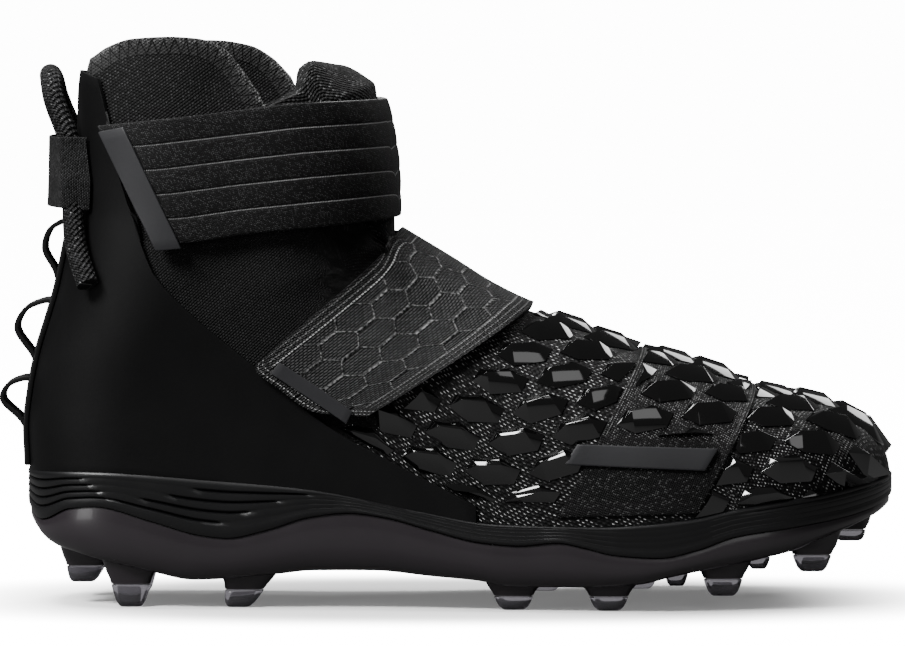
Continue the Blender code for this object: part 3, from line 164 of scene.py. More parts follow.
# share along the wing, share along the front, outer and inner face off the upper's surface there
TONGUE = (
    (0.00, 0.00, -3.9 * MM, -6.8 * MM),
    (0.28, 0.26, -2.6 * MM, -7.0 * MM),
    (0.42, 0.39, 1.9 * MM, -7.4 * MM),
    (0.55, 0.52, 1.6 * MM, -7.8 * MM),
    (0.68, 0.65, 1.3 * MM, -8.5 * MM),
    (0.79, 0.76, 1.0 * MM, -10.5 * MM),
    (0.87, 0.845, 0.8 * MM, -13.0 * MM),
    (0.90, 0.873, 1.2 * MM, -15.0 * MM),
    (0.925, 0.896, 1.4 * MM, -16.5 * MM),
    (0.95, 0.93, -0.8 * MM, -17.5 * MM),
    (0.975, 0.965, -3.6 * MM, -17.5 * MM),
    (0.99, 0.99, -6.4 * MM, -15.5 * MM),
    (1.00, 1.00, -8.6 * MM, -13.0 * MM),
)
CORD_DIAMETER = 7.5 * MM
# height share, side place
CORD_LEG = (
    (0.580, -29.0 * MM), (0.650, -23.3 * MM), (0.740, -17.9 * MM), (0.830, -14.8 * MM),
)
# height share, side place, distance behind the heel line
CORD_ARCH = (
    (0.8950, -13.5 * MM, 8.3 * MM), (0.9184, -11.5 * MM, 9.9 * MM),
    (0.9463, -7.0 * MM, 11.4 * MM), (0.9553, 0.0, 12.2 * MM),
)
SLEEVE_HEIGHTS = (0.712, 0.845)
SLEEVE_THICK = 1.0 * MM
# how far the sleeve reaches past the cord, and from the middle at most
SLEEVE_PAST = 6 * MM
SLEEVE_REACH = 23 * MM
TAPE_WIDTH = 18 * MM
TAPE_THICK = 1.6 * MM
TAPE_TOP = 0.700
# height share, how far the loop stands off the tape, in millimetres
TAPE_LOOPS = (
    ((0.585, -0.4), (0.605, 1.6), (0.640, 6.4), (0.675, 6.0), (0.692, 1.6), (0.698, -0.4)),
    ((0.440, -0.4), (0.456, 2.0), (0.495, 9.0), (0.530, 8.2), (0.545, 3.0), (0.546, -0.4)),
    ((0.320, -0.4), (0.336, 2.0), (0.366, 8.4), (0.392, 7.4), (0.404, 3.0), (0.405, -0.4)),
)
# name, length share, side share of the half width, tip height share of STUD_HEIGHT, base's lean
STUDS = (
    ("heel_back_lateral", 0.068, -0.42, 0.60, 0.002),
    ("heel_back_medial", 0.068, 0.42, 0.60, 0.002),
    ("heel_lateral", 0.125, -0.78, 0.00, 0.0),
    ("heel_medial", 0.125, 0.78, 0.00, 0.0),
    ("heel_front_lateral", 0.248, -0.78, 0.00, 0.004),
    ("heel_front_medial", 0.248, 0.78, 0.00, 0.004),
    ("ball_rear_lateral", 0.562, -0.82, 0.00, 0.0),
    ("ball_rear_medial", 0.600, 0.82, 0.00, 0.0),
    ("ball_lateral", 0.670, -0.84, 0.00, 0.0),
    ("ball_medial", 0.712, 0.84, 0.00, 0.0),
    ("centre_rear", 0.751, 0.00, 0.38, 0.0),
    ("front_lateral", 0.800, -0.82, 0.40, 0.0),
    ("front_medial", 0.815, 0.82, 0.50, 0.0),
    ("centre_front", 0.846, 0.00, 0.85, 0.0),
    ("toe_lateral", 0.903, -0.74, 1.00, 0.0),
    ("toe_medial", 0.905, 0.78, 1.05, 0.0),
    ("toe_tip", 0.952, 0.05, 1.65, -0.002),
)
# size of the middle studs against the others, and how far all stand in from the rim
SMALL_STUD = 0.62
STUD_INSET = 3 * MM

# Scales: lattice steps along the foot and down the girth, outline and roof of one scale
LATTICE_ALONG = Vector((0.0453 * SOLE_LENGTH, 0.0413 * INSTEP_HEIGHT))
LATTICE_DOWN = Vector((-0.0267 * SOLE_LENGTH, 0.1048 * INSTEP_HEIGHT))
SCALE_OUTLINE = (
    (-10.4, 0.9), (-6.2, -3.3), (3.8, -4.7), (10.4, -0.7), (6.4, 3.7), (-5.0, 4.5),
)
SCALE_ROOF = ((-4.4, -1.8), (4.4, -2.5))
SCALE_TURN = math.radians(20)
SCALE_RISE = 3.1 * MM
SCALE_ROOT = 1.4 * MM
SCALE_STEP = 0.3 * MM
# lattice places tried, and how far a scale's centre may be drawn in to its zone
LATTICE_COLUMNS = range(-12, 21)
LATTICE_ROWS = range(-9, 11)
MOST_DRAWN = 4 * MM
# on the ridge: centres further over than this are mirrors of others, nearer ones stand once
RIDGE_BEHIND = -2.5 * MM
RIDGE_NEAR = 4.8 * MM
# a scale that is squeezed below these shares of its size, or bent past this, is left out
SCALE_LONG = 20 * MM
SCALE_SHORT = 8 * MM
LEAST_LONG = 0.42
LEAST_SHORT = 0.35
LEAST_FACING = 0.70

# How far the vamp's knit stands off the solid's face, all over and more at the toe
VAMP_FILL = 1.4 * MM
TOE_FILL = 0.5 * MM
# ends of a crease as length share and height share of SHAFT_HEIGHT, its depth and its half width
CREASES = (
    ((0.405, 0.668), (0.335, 0.628), -0.9 * MM, 4.5 * MM),
    ((0.400, 0.640), (0.300, 0.575), 0.7 * MM, 5.0 * MM),
    ((0.395, 0.615), (0.320, 0.560), -0.7 * MM, 4.5 * MM),
    ((0.250, 0.640), (0.200, 0.560), -0.6 * MM, 5.0 * MM),
    ((0.250, 1.000), (0.225, 0.930), -0.8 * MM, 5.0 * MM),
    ((0.120, 1.000), (0.110, 0.930), -0.5 * MM, 5.0 * MM),
)

# Light: white of the world and floor, the floor's painted shadow patch as half sizes and squareness
FLOOR_SIZE = 6.0
FLOOR_DROP = 0.2 * MM
WHITE = 14.0
PAINTED_SHADOW_X = 0.178
PAINTED_SHADOW_Y = 0.085
PAINTED_SHADOW_SQUARE = 2.6
# name, place, size, power
LIGHTS = (
    ("key_left", (-1.0, -0.9, 1.25), (0.7, 0.45), 60),
    ("top", (-0.40, 0.10, 1.35), (0.8, 0.4), 38),
    ("low_left", (-1.3, -1.1, 0.25), (0.5, 0.5), 4),
    ("front_fill", (0.6, -1.6, 0.7), (0.8, 0.6), 2.5),
    ("back_right", (0.9, 0.9, 0.9), (0.6, 0.5), 6),
)
LIGHT_AIM = Vector((0.0, 0.0, 0.07))

# Camera: photo's width in pixels and the size of one, distance, aim and tilt
PHOTO_WIDE = 905
PIXEL = 0.3456 * MM
REACH = 2.2
AIM = Vector((-2.25 * MM, 0.0, 95.7 * MM)) + SHIFT
TILT = math.radians(3.5)
SENSOR = 36.0


# ---- form of the shoe ----


def slopes(xs, ys):
    """Tangents that keep a curve through the rows free of overshoot."""
    steps = np.diff(xs)
    rises = np.diff(ys) / steps
    found = np.empty(len(xs))
    found[0] = rises[0]
    found[-1] = rises[-1]
    for i in range(1, len(xs) - 1):
        before, after = rises[i - 1], rises[i]
        if before * after <= 0:
            found[i] = 0.0
            continue
        w1 = 2 * steps[i] + steps[i - 1]
        w2 = steps[i] + 2 * steps[i - 1]
        found[i] = (w1 + w2) / (w1 / before + w2 / after)
    return found


def curve_of(rows, scale_x, scale_y, column=1):
    """A function y(x) through the rows of a table."""
    xs = [scale_x(row[0]) for row in rows]
    ys = [scale_y * row[column] for row in rows]
    tangents = [float(t) for t in slopes(np.array(xs), np.array(ys))]

    def value(x):
        x = min(max(x, xs[0]), xs[-1])
        i = 0
        while i < len(xs) - 2 and x > xs[i + 1]:
            i += 1
        step = xs[i + 1] - xs[i]
        t = (x - xs[i]) / step
        rest = 1 - t
        return (
            ys[i] * (1 + 2 * t) * rest * rest
            + tangents[i] * step * t * rest * rest
            + ys[i + 1] * t * t * (3 - 2 * t)
            - tangents[i + 1] * step * t * t * rest
        )

    return value


def along(share):
    return SOLE_LENGTH * (share - 0.5)


def by_height(share):
    return SHAFT_HEIGHT * share


ridge_height = curve_of(RIDGE, along, INSTEP_HEIGHT)
vamp_round = curve_of(VAMP_ROUND, along, INSTEP_HEIGHT)
lateral_width = curve_of(PLAN, along, BALL_WIDTH, 1)
medial_width = curve_of(PLAN, along, BALL_WIDTH, 2)
sole_top = curve_of(TOP_LINE, along, SOLE_RISE)
sole_joint = curve_of(JOINT_LINE, along, SOLE_RISE)
plate_bottom = curve_of(PLATE_LINE, along, SOLE_RISE)
collar_height = curve_of(COLLAR_LINE, along, SHAFT_HEIGHT)
medial_collar_height = curve_of(MEDIAL_COLLAR_LINE, along, SHAFT_HEIGHT)
heel_share = curve_of([(z, x) for x, z in HEEL_BACK], by_height, 1.0)
shaft_share = curve_of(SHAFT_FRONT, by_height, 1.0)
TOE_X = along(RIDGE[-1][0])


def heel_x(z):
    return along(heel_share(z))


def shaft_x(z):
    return along(shaft_share(z))


def smooth_step(value, low, high):
    t = min(max((value - low) / (high - low), 0.0), 1.0)
    return t * t * (3 - 2 * t)


def lerp(a, b, t):
    return a + (b - a) * t


def rounded(q):
    """Rise of a rounded edge: 0 at its start, 1 from one edge radius on."""
    left = max(1 - q, 0.0)
    return max(1 - left**ROUNDNESS, 0.0) ** (1 / ROUNDNESS)


def heel_round(z):
    up = smooth_step(z, 0.35 * SHAFT_HEIGHT, 0.65 * SHAFT_HEIGHT)
    return lerp(HEEL_ROUND, ANKLE_BACK_ROUND, up)


def closeness(x, z):
    """1 on the side view's outline, 0 where the form has its full width."""
    toe = (TOE_X - x) / TOE_ROUND
    round_here = vamp_round(x)
    top = ridge_height(x) + round_here * (1 - rounded(toe))
    over = (top - z) / round_here
    shaft = (shaft_x(z) - x) / SHAFT_FRONT_ROUND
    if over > 0 or shaft > 0:
        inner = (max(over, 0.0) ** 3 + max(shaft, 0.0) ** 3) ** (1 / 3)
    else:
        inner = max(over, shaft)
    back = (x - heel_x(z)) / heel_round(z)
    return sum(max(1 - q, 0.0) ** ROUNDNESS for q in (toe, inner, back))


def ankle_blend(x, z):
    up = smooth_step(z, 0.34 * SHAFT_HEIGHT, 0.64 * SHAFT_HEIGHT)
    behind = 1 - smooth_step(x, along(0.38), along(0.62))
    return up * behind


def centre_line(x, z):
    return (medial_width(x) - lateral_width(x)) / 2 * (1 - ankle_blend(x, z))


def half_width(x, z):
    return lerp((medial_width(x) + lateral_width(x)) / 2, ANKLE_WIDTH / 2, ankle_blend(x, z))


def field(point):
    """0 on the upper's outer face, more outside it and less inside."""
    x, y, z = point
    return (abs(y - centre_line(x, z)) / half_width(x, z)) ** ROUNDNESS + closeness(x, z) - 1


def normal_at(point):
    """Outward way of the upper's face."""
    step = 0.25 * MM
    found = Vector((0.0, 0.0, 0.0))
    for axis in range(3):
        ahead = Vector(point)
        behind = Vector(point)
        ahead[axis] += step
        behind[axis] -= step
        found[axis] = field(ahead) - field(behind)
    return found.normalized()


def surface_point(x, z, side):
    """The point of the upper's outer face at x, z in side view; side is -1 lateral, +1 medial."""
    full = max(1 - closeness(x, z), 0.0) ** (1 / ROUNDNESS)
    return Vector((x, centre_line(x, z) + side * half_width(x, z) * full, z))


def surface(x, z, side):
    point = surface_point(x, z, side)
    return point, normal_at(point)


def on_outline(x, z):
    point = Vector((x, centre_line(x, z), z))
    return point, normal_at(point)


def heel_point(y, z):
    """The point of the heel's back at y, z in the view from behind."""
    x = heel_x(z)
    back_round = heel_round(z)
    for _ in range(6):
        across = min(abs(y - centre_line(x, z)) / half_width(x, z), 1.0)
        x = heel_x(z) + back_round * (1 - (1 - across**ROUNDNESS) ** (1 / ROUNDNESS))
    point = Vector((x, y, z))
    return point, normal_at(point)


def smooth_route(points, steps):
    """A smooth polyline through points, with so many steps between each two."""
    ends = [points[0] * 2 - points[1], *points, points[-1] * 2 - points[-2]]
    found = []
    for p0, p1, p2, p3 in zip(ends, ends[1:], ends[2:], ends[3:]):
        slope = p2 - p0
        bend = 2 * p0 - 5 * p1 + 4 * p2 - p3
        twist = 3 * p1 - p0 - 3 * p2 + p3
        for j in range(steps):
            t = j / steps
            found.append(p1 + 0.5 * (slope * t + bend * t**2 + twist * t**3))
    found.append(points[-1])
    return found


def line_of(rows, scale_y, steps=12):
    """A smooth side view line through the rows of a table."""
    return smooth_route([Vector((along(a), scale_y * b)) for a, b in rows], steps)


def at_share(polyline, share):
    """The point of a line at a share of its length."""
    lengths = [0.0]
    for a, b in zip(polyline, polyline[1:]):
        lengths.append(lengths[-1] + (b - a).length)
    target = share * lengths[-1]
    i = 0
    while i < len(polyline) - 2 and lengths[i + 1] < target:
        i += 1
    step = lengths[i + 1] - lengths[i]
    return polyline[i].lerp(polyline[i + 1], (target - lengths[i]) / step)


# ---- making pieces ----


def all_off():
    bpy.ops.object.select_all(action="DESELECT")


def only(piece):
    all_off()
    piece.select_set(True)
    bpy.context.view_layer.objects.active = piece


def modify(piece, kind, **settings):
    """Adds one modifier with the given settings and applies it."""
    only(piece)
    made = piece.modifiers.new(kind.lower(), kind)
    for key, value in settings.items():
        setattr(made, key, value)
    bpy.ops.object.modifier_apply(modifier=made.name)


def bevel(piece, width, angle=50, segments=2):
    """Rounds the edges that are sharper than an angle in degrees."""
    limit = math.radians(angle)
    modify(piece, "BEVEL", width=width, segments=segments, limit_method="ANGLE", angle_limit=limit)


def edit(piece, *steps):
    """Runs each step in edit mode, with the whole mesh selected before it."""
    only(piece)
    bpy.ops.object.mode_set(mode="EDIT")
    for step in steps:
        bpy.ops.mesh.select_all(action="SELECT")
        step()
    bpy.ops.object.mode_set(mode="OBJECT")


def face_out():
    bpy.ops.mesh.normals_make_consistent(inside=False)


def weld(distance):
    """An edit step that joins points closer than a distance."""
    return lambda: bpy.ops.mesh.remove_doubles(threshold=distance)


def close_rims(fill):
    """An edit step that picks a mesh's open rims and closes them with an operator."""

    def step():
        bpy.ops.mesh.select_all(action="DESELECT")
        bpy.ops.mesh.select_non_manifold()
        fill()

    return step


def join(piece, others):
    """Joins other pieces into one."""
    only(piece)
    for other in others:
        other.select_set(True)
    bpy.ops.object.join()


def piece_of(name, points, faces):
    """A piece with the given points and faces, placed in the scene."""
    mesh = bpy.data.meshes.new(name)
    mesh.from_pydata(points, [], faces)
    mesh.update()
    piece = bpy.data.objects.new(name, mesh)
    bpy.context.scene.collection.objects.link(piece)
    return piece


def measured_map(piece, columns, rows, span):
    """Flat places of a laid grid's points in mm, by the way travelled along rows and columns."""
    spots = np.array([tuple(v.co) for v in piece.data.vertices]).reshape(rows + 1, columns + 1, 3)
    found = []
    for axis, wide in ((1, span[0]), (0, span[1])):
        ways = np.cumsum(np.linalg.norm(np.diff(spots, axis=axis), axis=2) + 1e-9, axis=axis)
        ways = np.insert(ways, 0, 0.0, axis=axis)
        found.append(ways / np.take(ways, [-1], axis=axis) * wide)
    return np.stack(found, axis=2).reshape(-1, 2)


def laid_grid(name, columns, rows, place, span):
    """A grid laid onto the shoe: place(u, v) gives point, normal and lift; its UV map is in mm."""
    all_off()
    bpy.ops.mesh.primitive_grid_add(
        x_subdivisions=columns, y_subdivisions=rows, size=1, calc_uvs=True
    )
    piece = bpy.context.object
    piece.name = name
    piece.data.name = name
    for vert in piece.data.vertices:
        point, normal, lift = place(vert.co.x + 0.5, vert.co.y + 0.5)
        vert.co = point + normal * lift + SHIFT
    layer = piece.data.uv_layers.active
    layer.name = "cloth"
    flat = measured_map(piece, columns, rows, span)
    for loop, spot in zip(piece.data.loops, layer.data):
        spot.uv = flat[loop.vertex_index]
    return piece


def foot_core(point):
    """A place well inside the upper at the same station."""
    x = point.x if point.x - SHIFT.x > along(0.1) else point.x + 20 * MM
    return Vector((x, 0.0, min(point.z, sole_top(point.x - SHIFT.x) + 30 * MM)))


def face_away(piece):
    """Turns an open sheet's faces so that they point away from the inside of the shoe."""
    votes = 0
    for face in piece.data.polygons:
        away = (face.center - foot_core(face.center)).dot(face.normal)
        votes += 1 if away > 0 else -1
    if votes < 0:
        piece.data.flip_normals()


def finish(piece, slot, materials, *nodes, angle=40):
    """Gives a piece its materials and smooth shading, rides it on the shoe and hides the solids it
    stands for.
    """
    piece.data.materials.clear()
    for used in materials:
        piece.data.materials.append(used)
    only(piece)
    bpy.ops.object.shade_smooth_by_angle(angle=math.radians(angle))
    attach(piece, "root")
    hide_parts(*nodes)


def thicken(piece, thick, rounding):
    """Gives a laid sheet its thickness inward and rounds its rim."""
    face_away(piece)
    modify(piece, "SOLIDIFY", thickness=thick, offset=-1, use_even_offset=False, use_rim=True)
    bevel(piece, rounding)


# ---- materials ----

WEAVE_GLOSS = 0.14
WEAVE_DEPTH = 0.4 * MM
GRAIN_DEPTH = 0.3 * MM
# share by which gloss and tint of a smooth material vary, and the scale of that in 1/m
SPREAD = 0.15
BLOT_SCALE = 60.0

# Flat sizes of the straps in millimetres: over the foot, and from edge to edge
ANKLE_LONG = 250.0
ANKLE_HIGH = 45.0
ANKLE_RIBS = 5
MIDFOOT_WIDE = 46.0
MIDFOOT_LONG = 190.0
FOREFOOT_WIDE = 46.0
FOREFOOT_LONG = 190.0
FOREFOOT_KNIT_END = 32.0
# Midfoot strap: width of its border, and the hexagons' row, step and slope
BORDER = 5.2
HEX_ROW = 8.9
HEX_STEP = 11.6
HEX_SLOPE = 0.125


def feed(tree, node, **inputs):
    """Sets a node's inputs, by name or as i0, i1, each to a value, a socket or a Reading."""
    for key, value in inputs.items():
        numbered = key[0] == "i" and key[1:].isdigit()
        socket = node.inputs[int(key[1:]) if numbered else key.replace("_", " ")]
        if isinstance(value, Reading):
            value = value.socket
        if isinstance(value, bpy.types.NodeSocket):
            tree.links.new(value, socket)
        else:
            socket.default_value = value


def put(tree, kind, settings=None, **inputs):
    """One shader node with its settings and inputs."""
    made = tree.nodes.new("ShaderNode" + kind)
    for key, value in (settings or {}).items():
        setattr(made, key, value)
    feed(tree, made, **inputs)
    return made


def calc(tree, operation, *values, clamp=False):
    numbered = {"i" + str(k): value for k, value in enumerate(values)}
    made = put(tree, "Math", {"operation": operation, "use_clamp": clamp}, **numbered)
    return Reading(tree, made.outputs[0])


class Reading:
    """A number worked out in a shader; arithmetic on it adds Math nodes."""

    def __init__(self, tree, socket):
        self.tree = tree
        self.socket = socket

    def math(self, operation, *others):
        return calc(self.tree, operation, self, *others)

    def __add__(self, other):
        return self.math("ADD", other)

    def __sub__(self, other):
        return self.math("SUBTRACT", other)

    def __rsub__(self, other):
        return calc(self.tree, "SUBTRACT", other, self)

    def __mul__(self, other):
        return self.math("MULTIPLY", other)

    def __truediv__(self, other):
        return self.math("DIVIDE", other)

    def __pow__(self, other):
        return self.math("POWER", other)

    def __gt__(self, other):
        return self.math("GREATER_THAN", other)

    def __abs__(self):
        return self.math("ABSOLUTE")

    def fraction(self):
        return self.math("FRACT")

    def limited(self, factor):
        """The number times a factor, kept from 0 to 1."""
        return calc(self.tree, "MULTIPLY", self, factor, clamp=True)


def within(value, low, high):
    """1 where a value lies between low and high, with soft ends of a twentieth."""
    return (value - low).limited(20.0) * (high - value).limited(20.0)


def dashes(value, pitch, gap):
    """Dashes along a value in mm, so many to a mm, with a share of each left out."""
    return (value * pitch).fraction() > gap


def axes(tree, vector):
    """A vector's X and Y."""
    split = put(tree, "SeparateXYZ", Vector=vector)
    return Reading(tree, split.outputs["X"]), Reading(tree, split.outputs["Y"])


def noise(tree, vector, scale, detail):
    made = put(tree, "TexNoise", Vector=vector, Scale=scale, Detail=detail)
    return Reading(tree, made.outputs[0])


def full_colour(given):
    """Four parts from a grey's number or from three parts; a socket stays as it is."""
    if isinstance(given, float):
        given = (given, given, given)
    return (*given, 1) if isinstance(given, tuple) else given


def mix(tree, amount, first, second):
    """Colour between two, each a grey's number, a colour or a socket."""
    both = {"i6": full_colour(first), "i7": full_colour(second)}
    return put(tree, "Mix", {"data_type": "RGBA"}, i0=amount, **both).outputs[2]


def new_material(name):
    made = bpy.data.materials.new(name)
    made.use_nodes = True
    tree = made.node_tree
    return made, tree, tree.nodes["Principled BSDF"]


def thread_group():
    """Rows of short threads on a map in mm: how much thread shows, its height and its own shade."""
    tree = bpy.data.node_groups.new("threads", "ShaderNodeTree")
    tree.interface.new_socket("Vector", in_out="INPUT", socket_type="NodeSocketVector")
    defaults = {"Along": 1.5, "Across": 1.0, "Turn": 0.0}
    defaults |= {"Stagger": 0.5, "Length": 0.6, "Width": 0.5}
    for label, value in defaults.items():
        made = tree.interface.new_socket(label, in_out="INPUT", socket_type="NodeSocketFloat")
        made.default_value = value
    for label in ("Mask", "Height", "Shade"):
        tree.interface.new_socket(label, in_out="OUTPUT", socket_type="NodeSocketFloat")
    given = tree.nodes.new("NodeGroupInput").outputs
    around_z = {"rotation_type": "Z_AXIS"}
    spot = put(tree, "VectorRotate", around_z, Vector=given["Vector"], Angle=given["Turn"])
    x, y = axes(tree, spot.outputs[0])
    row_at = y / given["Across"]
    row = row_at.math("FLOOR")
    run = x / given["Along"] + row.math("FLOORED_MODULO", 2.0) * given["Stagger"]
    in_run = abs(run.fraction() - 0.5)
    in_row = abs(row_at.fraction() - 0.5)
    long_part = (Reading(tree, given["Length"]) * 0.5 - in_run).limited(9.0)
    wide_part = (Reading(tree, given["Width"]) * 0.5 - in_row).limited(9.0)
    cell = put(tree, "CombineXYZ", X=run.math("FLOOR"), Y=row, Z=0.5)
    chance = put(tree, "TexWhiteNoise", {"noise_dimensions": "3D"}, Vector=cell.outputs[0])
    dome = (1.0 - in_run * 1.6) * (1.0 - in_row * 1.9)
    out = tree.nodes.new("NodeGroupOutput")
    feed(tree, out, Mask=long_part * wide_part, Height=dome, Shade=chance.outputs["Value"])
    return tree


THREADS = thread_group()


class Cloth:
    """A woven material being made: threads that catch the light by chance, over a dark ground."""

    def __init__(self, name, dark, roughness=0.7, sheen=0.0):
        self.material, self.tree, self.shader = new_material(name)
        self.place = put(self.tree, "UVMap", {"uv_map": "cloth"}).outputs[0]
        self.colour = dark
        self.height = Reading(self.tree, put(self.tree, "Value").outputs[0])
        feed(self.tree, self.shader, Roughness=roughness, Specular_IOR_Level=WEAVE_GLOSS)
        feed(self.tree, self.shader, Sheen_Weight=sheen, Sheen_Roughness=0.4)

    def threads(
        self, light, pitch, turn=0.0, shown=0.6, size=(0.6, 0.5), only=None, raised=1.0, wear=0.8
    ):
        """Adds a layer of threads: pitch along and across in mm, the share that is lit, a mask."""
        laid = {"Along": pitch[0], "Across": pitch[1], "Length": size[0], "Width": size[1]}
        kind = {"node_tree": THREADS}
        made = put(self.tree, "Group", kind, Vector=self.place, Turn=turn, **laid)
        mask, height, shade = (Reading(self.tree, socket) for socket in made.outputs)
        lit = (shade - (1 - shown)).limited(1 / shown)
        worn = noise(self.tree, self.place, 0.09, 2.0) * wear + (1 - wear / 2)
        amount = (lit * mask).limited(worn)
        grown = height * raised
        if only is not None:
            amount = amount * only
            grown = grown * only
        self.tint(light, amount)
        self.height = self.height + grown

    def tint(self, colour, only):
        self.colour = mix(self.tree, only, self.colour, colour)

    def raise_by(self, amount, only):
        self.height = self.height + only * amount

    def done(self, bump=0.5, distance=WEAVE_DEPTH):
        raised = put(self.tree, "Bump", Strength=bump, Distance=distance, Height=self.height)
        feed(self.tree, self.shader, Base_Color=self.colour, Normal=raised.outputs[0])
        return self.material


def woven(name, dark, *layers, bump, distance=WEAVE_DEPTH, **looks):
    """A cloth with nothing but layers of threads."""
    cloth = Cloth(name, dark, **looks)
    for layer in layers:
        cloth.threads(**layer)
    return cloth.done(bump, distance)


def smooth_material(name, colour, roughness, grain=0.0, grain_scale=900.0, **looks):
    """Moulded or coated surface, slightly uneven in gloss and tint; looks go to the shader."""
    made, tree, shader = new_material(name)
    place = put(tree, "TexCoord").outputs["Object"]
    blot = noise(tree, place, BLOT_SCALE, 4.0)
    ends = {"To_Min": roughness * (1 - SPREAD), "To_Max": roughness * (1 + SPREAD)}
    gloss = put(tree, "MapRange", Value=blot, **ends)
    darker, paler = (tuple(part * share for part in colour) for share in (1 - SPREAD, 1 + SPREAD))
    tint = mix(tree, blot, darker, paler)
    feed(tree, shader, Roughness=gloss.outputs[0], Base_Color=tint, **looks)
    if grain:
        pits = noise(tree, place, grain_scale, 3.0)
        raised = put(tree, "Bump", Strength=grain, Distance=GRAIN_DEPTH, Height=pits)
        feed(tree, shader, Normal=raised.outputs[0])
    return made


def vamp_mesh():
    """Mesh under the scales: rows of pale dashes, and finer round dots towards the toe."""
    cloth = Cloth("vamp_mesh", 0.0012, roughness=0.6)
    along_foot, _ = axes(cloth.tree, cloth.place)
    toe = (along_foot - along(0.80) / MM).limited(0.2)
    heavy = {"shown": 0.7, "wear": 1.3}
    cloth.threads(0.50, (1.75, 1.2), turn=-0.2, size=(0.55, 0.34), only=1.0 - toe, **heavy)
    cloth.threads(0.40, (1.15, 1.1), turn=0.2, size=(0.48, 0.46), only=toe, **heavy)
    return cloth.done(bump=0.7)


def collar_knit():
    """Knit of the collar with its stitched binding: zigzag thread over a fuzzy paler rim."""
    cloth = Cloth("collar_knit", 0.0012, sheen=0.02)
    tree = cloth.tree
    cloth.threads((0.038, 0.038, 0.039), (1.15, 0.95), turn=0.65, shown=0.5, size=(0.6, 0.5))
    way, depth = axes(tree, put(tree, "UVMap", {"uv_map": "rim"}).outputs[0])
    fuzz = noise(tree, put(tree, "TexCoord").outputs["Object"], 1800.0, 3.0)
    specks = (fuzz - 0.5).limited(9.0)
    band = (6.2 - depth).limited(2.0)
    near_rim = (3.4 - depth).limited(0.4)
    edge = (0.9 - depth).limited(2.0)
    zigzag = way.math("PINGPONG", 2.0) * 2.3 + 1.3
    stitch = (0.75 - abs(depth - zigzag)).limited(3.0)
    cloth.tint(0.016, band * 0.8)
    cloth.tint(0.15, near_rim * specks * 0.6)
    cloth.tint(0.001, stitch)
    cloth.tint(0.16, edge * specks)
    cloth.raise_by(0.8, band)
    cloth.raise_by(-0.6, stitch)
    return cloth.done(bump=0.8)


def ankle_elastic():
    """Flat ribs of diagonal weave with a line of pale dots between each two."""
    cloth = Cloth("ankle_elastic", 0.0015, sheen=0.02)
    cloth.threads((0.062, 0.062, 0.063), (0.80, 0.55), turn=0.8, shown=0.55, size=(0.7, 0.55))
    over, up = axes(cloth.tree, cloth.place)
    rib = up / (ANKLE_HIGH / ANKLE_RIBS)
    off = abs(rib - rib.math("ROUND"))
    inside = within(rib, 0.3, ANKLE_RIBS - 0.3)
    line = (0.030 - off).limited(55.0) * inside
    groove = (0.10 - off).limited(14.0) * inside
    dots = dashes(over, 1.55, 0.42)
    middle = abs(over - ANKLE_LONG / 2)
    reach = {"From_Min": 110.0, "From_Max": 15.0, "To_Min": 0.35, "To_Max": 1.0}
    forward = put(cloth.tree, "MapRange", Value=middle, **reach).outputs[0]
    # painted highlight: pale dots along the top rim, only near the front
    rim_highlight = within(rib, ANKLE_RIBS - 0.045, ANKLE_RIBS + 1.0)
    # painted shade: the grooves between the ribs are tinted darker
    cloth.tint(0.001, groove)
    cloth.tint(0.42, line * dots * forward)
    cloth.raise_by(-1.2, groove)
    # painted shade: a plain dark band down the front middle, where the front face turns away
    cloth.tint(0.002, (6.0 - middle).limited(0.7))
    cloth.tint(0.28, rim_highlight * dots * (48.0 - middle).limited(0.2))
    return cloth.done(bump=0.6)


def midfoot_weave():
    """Ribbed inner field with pale hexagon lines, a piping line and a stitched border."""
    cloth = Cloth("midfoot_weave", 0.0015, roughness=0.5)
    across, over = axes(cloth.tree, cloth.place)
    inner = within(across, BORDER, MIDFOOT_WIDE - BORDER)
    ribs = {"turn": math.pi / 2, "shown": 0.95, "size": (0.86, 0.45), "wear": 0.9}
    cloth.threads((0.040, 0.040, 0.041), (1.9, 0.85), only=inner, **ribs)
    weave = {"turn": math.pi / 2 + 0.25, "shown": 0.55, "size": (0.7, 0.6)}
    cloth.threads(0.045, (1.3, 0.75), only=1.0 - inner, **weave)
    middle = abs(over - MIDFOOT_LONG / 2)
    wave = middle.math("PINGPONG", HEX_STEP) * HEX_SLOPE + (0.25 - HEX_STEP / 2 * HEX_SLOPE)
    bent = wave.math("MAXIMUM", 0.0).math("MINIMUM", 0.5)
    in_row = abs(((across - BORDER) / HEX_ROW).fraction() - 0.5)
    hexes = (0.075 - abs(in_row - bent)).limited(18.0)
    shown = (noise(cloth.tree, cloth.place, 0.9, 2.0) - 0.46).limited(7.0)
    cloth.tint(0.15, hexes * shown * inner)
    cloth.raise_by(1.6, hexes * inner)
    stitches = ((BORDER, 0.34), (MIDFOOT_WIDE - BORDER, 0.18), (1.4, 0.10), (3.4, 0.12))
    stitches += ((MIDFOOT_WIDE - 1.4, 0.09), (MIDFOOT_WIDE - 3.4, 0.09))
    for centre, bright in stitches:
        line = (0.30 - abs(across - centre)).limited(6.0)
        cloth.tint(bright, line * dashes(over, 0.75, 0.35))
        cloth.raise_by(0.8, line)
    end = MIDFOOT_LONG / 2 - middle
    cloth.tint(0.003, (5.4 - end).limited(3.0))
    for centre in (1.3, 3.3):
        line = (0.26 - abs(end - centre)).limited(6.0)
        cloth.tint(0.26, line * dashes(across, 0.7, 0.45))
    return cloth.done(bump=0.9)


